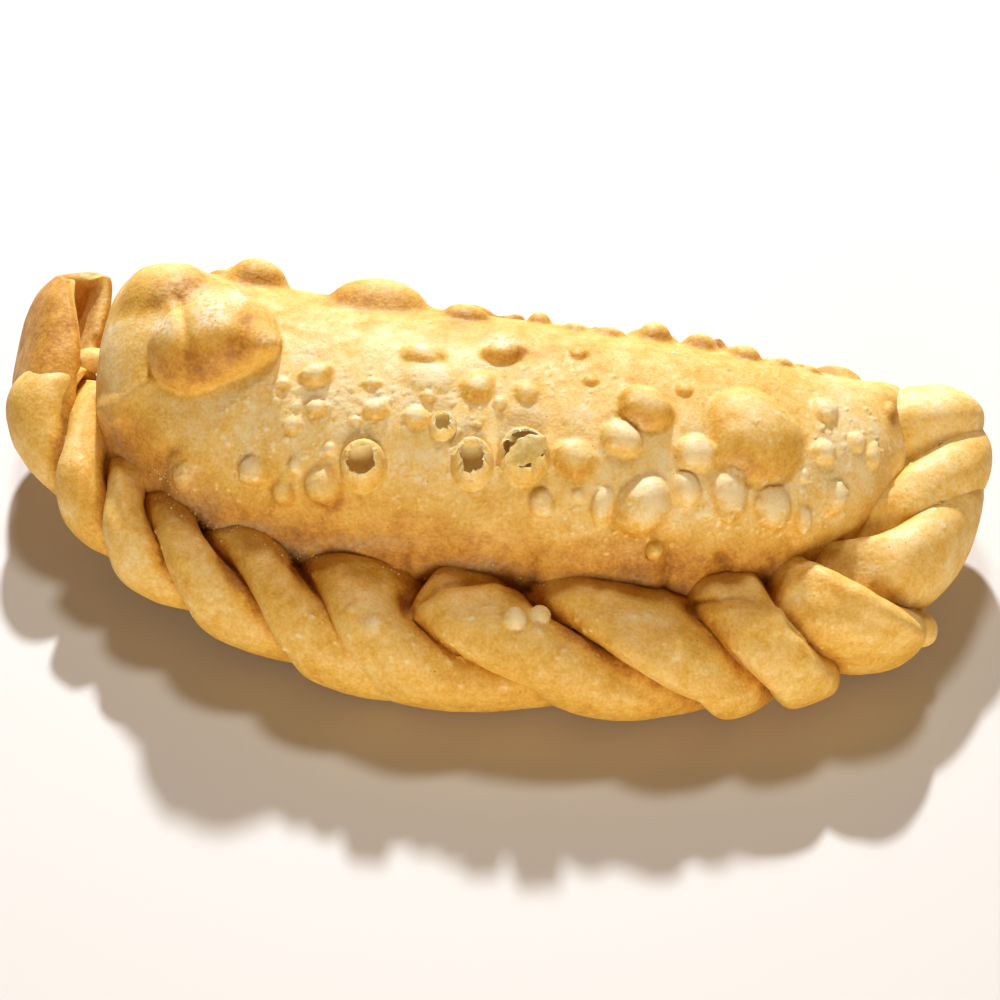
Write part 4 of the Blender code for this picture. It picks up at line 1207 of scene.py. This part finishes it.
# %% [markdown]
# ## Knobs and flour grains
#
# A small knob of dough sticks out at either end of the rope. Crumbs of flour cling to the crease
# between belly and rope. Each crumb is a little stone with eight faces, pulled out of shape,
# and all of them are one mesh.

# %% Make the knobs and scatter the crumbs
KNOBS = (       # middle and half sizes
    (55.6, -7.6, 6.6, 2.6, 2.4, 2.0), (-50.8, 15.4, 16.2, 2.4, 1.9, 1.3),
)
KNOB_ROWS = 40
KNOB_ROUGHNESS = 0.08
CRUMBS = 700
CRUMB_SIZE = (0.06, 0.28)       # millimetres from the middle to a corner
CRUMB_REACH = 7.0               # how far from the crease they lie, in pixels
CRUMB_LINES = (((160, 495), (215, 530), (240, 528), (285, 552), (310, 562), (350, 553), (400, 575)),
               ((160, 470), (185, 490)), ((430, 580), (490, 572), (545, 592)))


def knob_grid(x, y, z, *half):
    """A flattened ball, roughened by smooth noise, as rings between two poles."""
    tilt = np.radians(np.linspace(-90, 90, KNOB_ROWS))[:, None]
    turn = np.radians(np.linspace(0, 360, 2 * KNOB_ROWS, endpoint=False))[None]
    ball = np.stack([np.cos(tilt) * np.cos(turn), np.cos(tilt) * np.sin(turn),
                     np.sin(tilt) + 0 * turn], axis=-1)
    rough = 1 + KNOB_ROUGHNESS * soft_noise(ball, 0.9, 5)
    return (np.array((x, y, z)) - MIDDLE + ball * np.array(half) * rough[..., None])[:, ::-1][::-1]


def crumb_mesh(skins, seed):
    """Crumbs sit at random points of the skins, more of them where a bell curve of the distance
    to a line is high. Their sizes are a random number to the power 4, so most are tiny."""
    draw = np.random.default_rng(seed)
    points = np.concatenate([skin.grid.reshape(-1, 3) for skin in skins])
    facing = np.concatenate([facing_eye(skin.grid).ravel() for skin in skins])
    pixels = in_photo(points)
    near = np.min([pixels_to_line(pixels, line) for line in CRUMB_LINES], axis=0)
    chance = facing * bell(near, CRUMB_REACH)
    picked = points[draw.choice(len(points), CRUMBS, p=chance / chance.sum())]
    corners = np.array(((1, 0, 0), (-1, 0, 0), (0, 1, 0), (0, -1, 0), (0, 0, 1), (0, 0, -1)), float)
    size = CRUMB_SIZE[0] + (CRUMB_SIZE[1] - CRUMB_SIZE[0]) * draw.uniform(size=(CRUMBS, 1, 1))**4
    stones = picked[:, None] + corners * size * draw.uniform(0.5, 1.4, (CRUMBS, 6, 1))
    faces = ((0, 2, 4), (2, 1, 4), (1, 3, 4), (3, 0, 4), (2, 0, 5), (1, 2, 5), (3, 1, 5), (0, 3, 5))
    faces = (np.arange(CRUMBS)[:, None, None] * 6 + np.array(faces)).reshape(-1, 3)
    stones = stones.reshape(-1, 3)
    return put_mesh("flour_crumbs", stones, [faces], {"flake": np.full(len(stones), 0.5)})


print("knobs:", len(KNOBS), "and crumbs:", CRUMBS)

# %% [markdown]
# ## The cornet
#
# At the left tip the rope starts as a flap of dough folded in two, open at the top like a paper
# cornet. It is a sheet: a net of five by five points, drawn out into a fine grid by smooth
# curves in both directions, and given its thickness along the normals on either side.

# %% Fold the cornet
# a row for each line across the sheet, from its open end at the back to the start of the rope;
# each goes from one edge against the belly, down and round the left side, up to the other edge
CORNET = (
    ((-52.3, 30.0, 17.5), (-54.9, 31.0, 16.5), (-57.3, 29.0, 17.5),
     (-57.1, 26.6, 19.5), (-55.9, 25.0, 21.0)),
    ((-51.8, 28.2, 16.5), (-56.0, 30.8, 13.0), (-60.6, 26.6, 14.5),
     (-57.4, 21.8, 20.0), (-53.9, 20.0, 21.0)),
    ((-51.7, 23.0, 14.5), (-56.0, 26.4, 10.0), (-61.4, 20.8, 11.5),
     (-56.8, 14.6, 18.6), (-51.9, 14.0, 19.4)),
    ((-52.0, 20.3, 13.0), (-55.4, 17.5, 8.5), (-60.3, 13.0, 9.0),
     (-56.2, 7.2, 16.2), (-51.5, 9.0, 16.4)),
    ((-51.0, 9.0, 9.0), (-52.6, 5.5, 7.4), (-54.9, 2.4, 8.0),
     (-53.0, -0.5, 11.0), (-50.4, 1.5, 11.5)),
)
CORNET_THICK = 2.0
CORNET_TOAST = 0.88     # outside, and how much browner its fold and how much paler its inside is
FOLD_TOAST = 0.15
# the inside is painted paler, as painted light against the shade inside the cornet
INSIDE_PAINTED_LIGHT = 0.70
CORNET_ROUND = 0.09     # the sheet's edges are rounded over this share of its half width
CORNET_FOLD = 0.35      # half width of the fold, and how much of the inner half is left out in it
CORNET_THIN = 0.7
CORNET_DOWN = 120
CORNET_ACROSS = 130


def spread(rows, count):
    """More rows between the given ones, on a smooth curve through them."""
    places = np.linspace(0, 1, len(rows))
    return smooth_between(np.linspace(0, 1, count), places, rows.reshape(len(rows), -1))


def make_cornet():
    """The sheet's points, moved out and in along the normals by half its thickness, which is a
    quarter circle towards the edges and less on the inside of the fold, and by soft waves."""
    net = np.array(CORNET) - MIDDLE
    down = spread(net, CORNET_DOWN).reshape(CORNET_DOWN, -1, 3).transpose(1, 0, 2)
    sheet = spread(down, CORNET_ACROSS).reshape(CORNET_ACROSS, CORNET_DOWN, 3)
    normal = unit(np.cross(np.gradient(sheet, axis=1), np.gradient(sheet, axis=0)))
    width = np.linspace(-1, 1, CORNET_ACROSS)[:, None]
    depth = np.linspace(-1, 1, CORNET_DOWN)[None]
    to_rim = np.minimum(1 - np.abs(width), 1 - np.abs(depth) * 0.98)
    rounded = 0.25 + 0.75 * np.sqrt(1 - (1 - np.clip(to_rim / CORNET_ROUND, 0, 1))**2)
    in_fold = bell(width, CORNET_FOLD)
    half = CORNET_THICK / 2 * rounded
    relief = wave_heights(sheet, ROPE_WAVES, 50)
    outer = sheet + normal * (half + relief)[..., None]
    inner = sheet - normal * (half * (1 - CORNET_THIN * in_fold) - relief)[..., None]
    toast_and_shade = CORNET_TOAST + FOLD_TOAST * in_fold * np.ones_like(depth)
    points = np.concatenate([inner.reshape(-1, 3), outer.reshape(-1, 3)])
    quads = sheet_quads(CORNET_ACROSS, CORNET_DOWN)
    return put_mesh("cornet", points, [quads], {"toast_and_shade": np.stack([toast_and_shade - INSIDE_PAINTED_LIGHT, toast_and_shade])})


print("the cornet is drawn out from", len(CORNET), "lines across it")

# %% [markdown]
# ## The finish: fried wheat dough
#
# Fried dough is starch and gluten that the oil has dried and browned. Its thin blistered skin
# lets a little light in, scatters it and sends it back warm, and a film of oil gives it a soft
# gloss. The brown comes from toasting, darkest where the oil was hottest. The same tint also
# carries painted shade, darker in creases, low on blisters and low on the belly and rope, and
# painted light that makes some lit places paler. The finish mixes one number, how toasted and
# shaded a point is, from the painted tint and from noise of several sizes, and reads the colour
# off a ramp from cream to dark brown.

# %% Choose the colours and sizes of the finish
# from barely fried to dark brown
RAMP = (
    (0.0, "F8E4B4"), (0.22, "F3CF7E"), (0.42, "E8B850"), (0.62, "D69C3A"), (0.8, "B97C28"),
    (1.0, "95601E"),
)
DRY_WHITE = "F7E6C2"
# flour's colour, greyed in part as painted shade where it lies in the crease by the rope
FLOUR_AND_SHADE_GREY = "C8B28C"
SPECK_BROWN = "5A2C0C"  # burnt specks of flour
TOAST_START = 0.20      # place on the ramp of dough without any tint
TOAST_SHARE = 0.5       # how far a tint of 1 moves it
# noise of the toasting: size in millimetres, share of the ramp and detail; the finest grain is
# nearer 0.2 on real dough, too fine to show here
TOAST_NOISE = ((12.0, 0.34, 2.0), (3.0, 0.40, 2.0), (1.1, 0.34, 1.0), (0.38, 0.40, 1.0))
# sizes in millimetres
FLAKE_GRAIN = 0.6
FLOUR_GRAIN = 0.7
SPECK_SPACING = 2.7
SPECK_RADIUS = 0.10
BUBBLE_SPACING = 1.2
WRINKLE_SIZE = 0.42
GLOSS_PATCH = 3.0
RELIEF_DEPTH = 0.16
# how high the fine bubbles and the flakes stand, over the wrinkles
BUBBLE_SHARE, FLAKE_SHARE = 0.35, 0.4
# roughness of the skin where the oil has stayed and where it has drained
OILY, DRAINED = 0.50, 0.72
# cooking oil has a refractive index of about 1.46, and a thin film of it shines a little; under
# the skin, dough scatters red light the farthest
DOUGH = {
    "Metallic": 0.0, "IOR": 1.46, "Coat Weight": 0.04, "Coat Roughness": 0.30,
    "Subsurface Weight": 0.30, "Subsurface Radius": (1.0, 0.55, 0.20), "Subsurface Scale": 1.5 * MM,
}


print("the ramp has", len(RAMP), "colours and the toasting", len(TOAST_NOISE), "sizes of noise")

# %% Mix the fried dough
def toast_and_shade_colour(tree, place, tints):
    """Base colour: the toast and painted shade tint plus noise of four sizes picks a colour off the
    ramp, then dry flakes, flour and specks are laid over it."""
    total = sum(share for size, share, detail in TOAST_NOISE)
    toast_and_shade_level = add_node(
        tree, "ShaderNodeMath",
        {"operation": "MULTIPLY_ADD", 1: TOAST_SHARE, 2: TOAST_START - total / 2},
        {0: tints["toast_and_shade"]})
    for size, share, detail in TOAST_NOISE:
        noise = add_node(tree, "ShaderNodeTexNoise", {"Scale": 1 / (size * MM), "Detail": detail},
                         {"Vector": place})
        toast_and_shade_level = add_node(tree, "ShaderNodeMath", {"operation": "MULTIPLY_ADD", 1: share},
                           {0: noise.outputs["Fac"], 2: toast_and_shade_level.outputs[0]})
    ramp = add_node(tree, "ShaderNodeValToRGB", {}, {"Fac": toast_and_shade_level.outputs[0]})
    while len(ramp.color_ramp.elements) < len(RAMP):
        ramp.color_ramp.elements.new(0.5)
    for element, (position, colour) in zip(ramp.color_ramp.elements, RAMP):
        element.position = position
        element.color = linear(colour)
    colour = ramp.outputs["Color"]
    for tint, grain, start, end, over in (("flake", FLAKE_GRAIN, 0.40, 0.62, DRY_WHITE),
                                          ("flour", FLOUR_GRAIN, 0.30, 0.70, FLOUR_AND_SHADE_GREY)):
        noise = add_node(tree, "ShaderNodeTexNoise", {"Scale": 1 / (grain * MM), "Detail": 3.0},
                         {"Vector": place})
        spread_out = add_node(tree, "ShaderNodeMapRange", {"From Min": start, "From Max": end},
                              {"Value": noise.outputs["Fac"]})
        share = add_node(tree, "ShaderNodeMath", {"operation": "MULTIPLY", "use_clamp": True},
                         {0: spread_out.outputs["Result"], 1: tints[tint]})
        colour = add_node(tree, "ShaderNodeMix", {"data_type": "RGBA", 7: linear(over)},
                          {0: share.outputs[0], 6: colour}).outputs[2]
    cells = add_node(tree, "ShaderNodeTexVoronoi", {"Scale": 1 / (SPECK_SPACING * MM)},
                     {"Vector": place})
    edge = SPECK_RADIUS / SPECK_SPACING
    speck = add_node(tree, "ShaderNodeMapRange", {"From Min": edge, "From Max": edge / 2},
                     {"Value": cells.outputs["Distance"]})
    return add_node(tree, "ShaderNodeMix", {"data_type": "RGBA", 7: linear(SPECK_BROWN)},
                    {0: speck.outputs["Result"], 6: colour}).outputs[2]


def fine_relief(tree, place, tints):
    """Bump of what is finer than the mesh: wrinkles everywhere, with pinpoint bubbles and
    raised flakes added to their height."""
    wrinkles = add_node(tree, "ShaderNodeTexNoise", {"Scale": 1 / (WRINKLE_SIZE * MM), "Detail": 2.0},
                        {"Vector": place})
    cells = add_node(tree, "ShaderNodeTexVoronoi",
                     {"feature": "SMOOTH_F1", "Scale": 1 / (BUBBLE_SPACING * MM)},
                     {"Vector": place})
    bubbles = add_node(tree, "ShaderNodeMapRange", {"From Min": 0.40, "From Max": 0.12},
                       {"Value": cells.outputs["Distance"]})
    height = add_node(tree, "ShaderNodeMath", {"operation": "MULTIPLY_ADD", 1: BUBBLE_SHARE},
                      {0: bubbles.outputs["Result"], 2: wrinkles.outputs["Fac"]})
    height = add_node(tree, "ShaderNodeMath", {"operation": "MULTIPLY_ADD", 1: FLAKE_SHARE},
                      {0: tints["flake"], 2: height.outputs[0]})
    return add_node(tree, "ShaderNodeBump", {"Strength": 0.5, "Distance": RELIEF_DEPTH * MM},
                    {"Height": height.outputs[0]}).outputs["Normal"]


def fried_dough():
    """One shader: tints and noise set its colour, relief and roughness, and DOUGH the rest."""
    material = bpy.data.materials.new("fried_wheat_dough")
    material.use_nodes = True
    tree = material.node_tree
    shader = tree.nodes["Principled BSDF"]
    place = add_node(tree, "ShaderNodeTexCoord").outputs["Object"]
    tints = {name: add_node(tree, "ShaderNodeAttribute", {"attribute_name": name}).outputs["Fac"]
             for name in ("toast_and_shade", "flake", "flour")}
    tree.links.new(toast_and_shade_colour(tree, place, tints), shader.inputs["Base Color"])
    tree.links.new(fine_relief(tree, place, tints), shader.inputs["Normal"])
    gloss = add_node(tree, "ShaderNodeTexNoise", {"Scale": 1 / (GLOSS_PATCH * MM), "Detail": 3.0},
                     {"Vector": place})
    dull = add_node(tree, "ShaderNodeMapRange",
                    {"From Min": 0.3, "From Max": 0.7, "To Min": OILY, "To Max": DRAINED},
                    {"Value": gloss.outputs["Fac"]})
    tree.links.new(dull.outputs["Result"], shader.inputs["Roughness"])
    for name, value in DOUGH.items():
        shader.inputs[name].default_value = value
    return material


dough = fried_dough()
print("mixed", dough.name, "from", len(dough.node_tree.nodes), "nodes")

# %% [markdown]
# ## Put the pie together
#
# The belly stands for the solid, and every other piece is laid into it or onto it. All of them
# ride on the one body and take the same finish.

# %% Dress the pieces
def dress(piece):
    """Gives a piece the finish and ties it to the body."""
    piece.data.materials.append(dough)
    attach(piece, "root")
    return piece


belly_piece = dress(tube_mesh("belly_crust", crust.grid, crust.tints))
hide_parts("empanadilla")
dress(tube_mesh("rope_edge", rope.grid, rope.tints))
dress(make_cornet())
for number, knob in enumerate(KNOBS):
    grid = knob_grid(*knob)
    dress(tube_mesh("knob_%d" % number, grid, {"toast_and_shade": np.full(grid.shape[:2], 0.2)}))
dress(crumb_mesh((crust, rope), 70))
for number, (grid, tints, spot) in enumerate(cups):
    tints["toast_and_shade"] = tints["toast_and_shade"] + crust.tints["toast_and_shade"][spot].mean()
    dress(tube_mesh("burst_blister_%d" % number, grid, tints))
pale = np.full(len(leaf_points), 0.2)
dress(put_mesh("torn_leaves", leaf_points, leaf_faces, {"toast_and_shade": 0.5 * pale, "flake": 1.5 * pale}))
print("all pieces ride on one body")

# %% [markdown]
# ## Compare the sizes
#
# The skin stands a little proud of the solid. Both boxes are printed.

# %% Print both boxes and finish
boxes = {"cad": [list(corner) for corner in CAD_BOX], "visual": [list(corner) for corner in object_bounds()]}
for name, (lowest, highest) in boxes.items():
    print(name, np.round(np.array(lowest) / MM, 1), np.round(np.array(highest) / MM, 1))
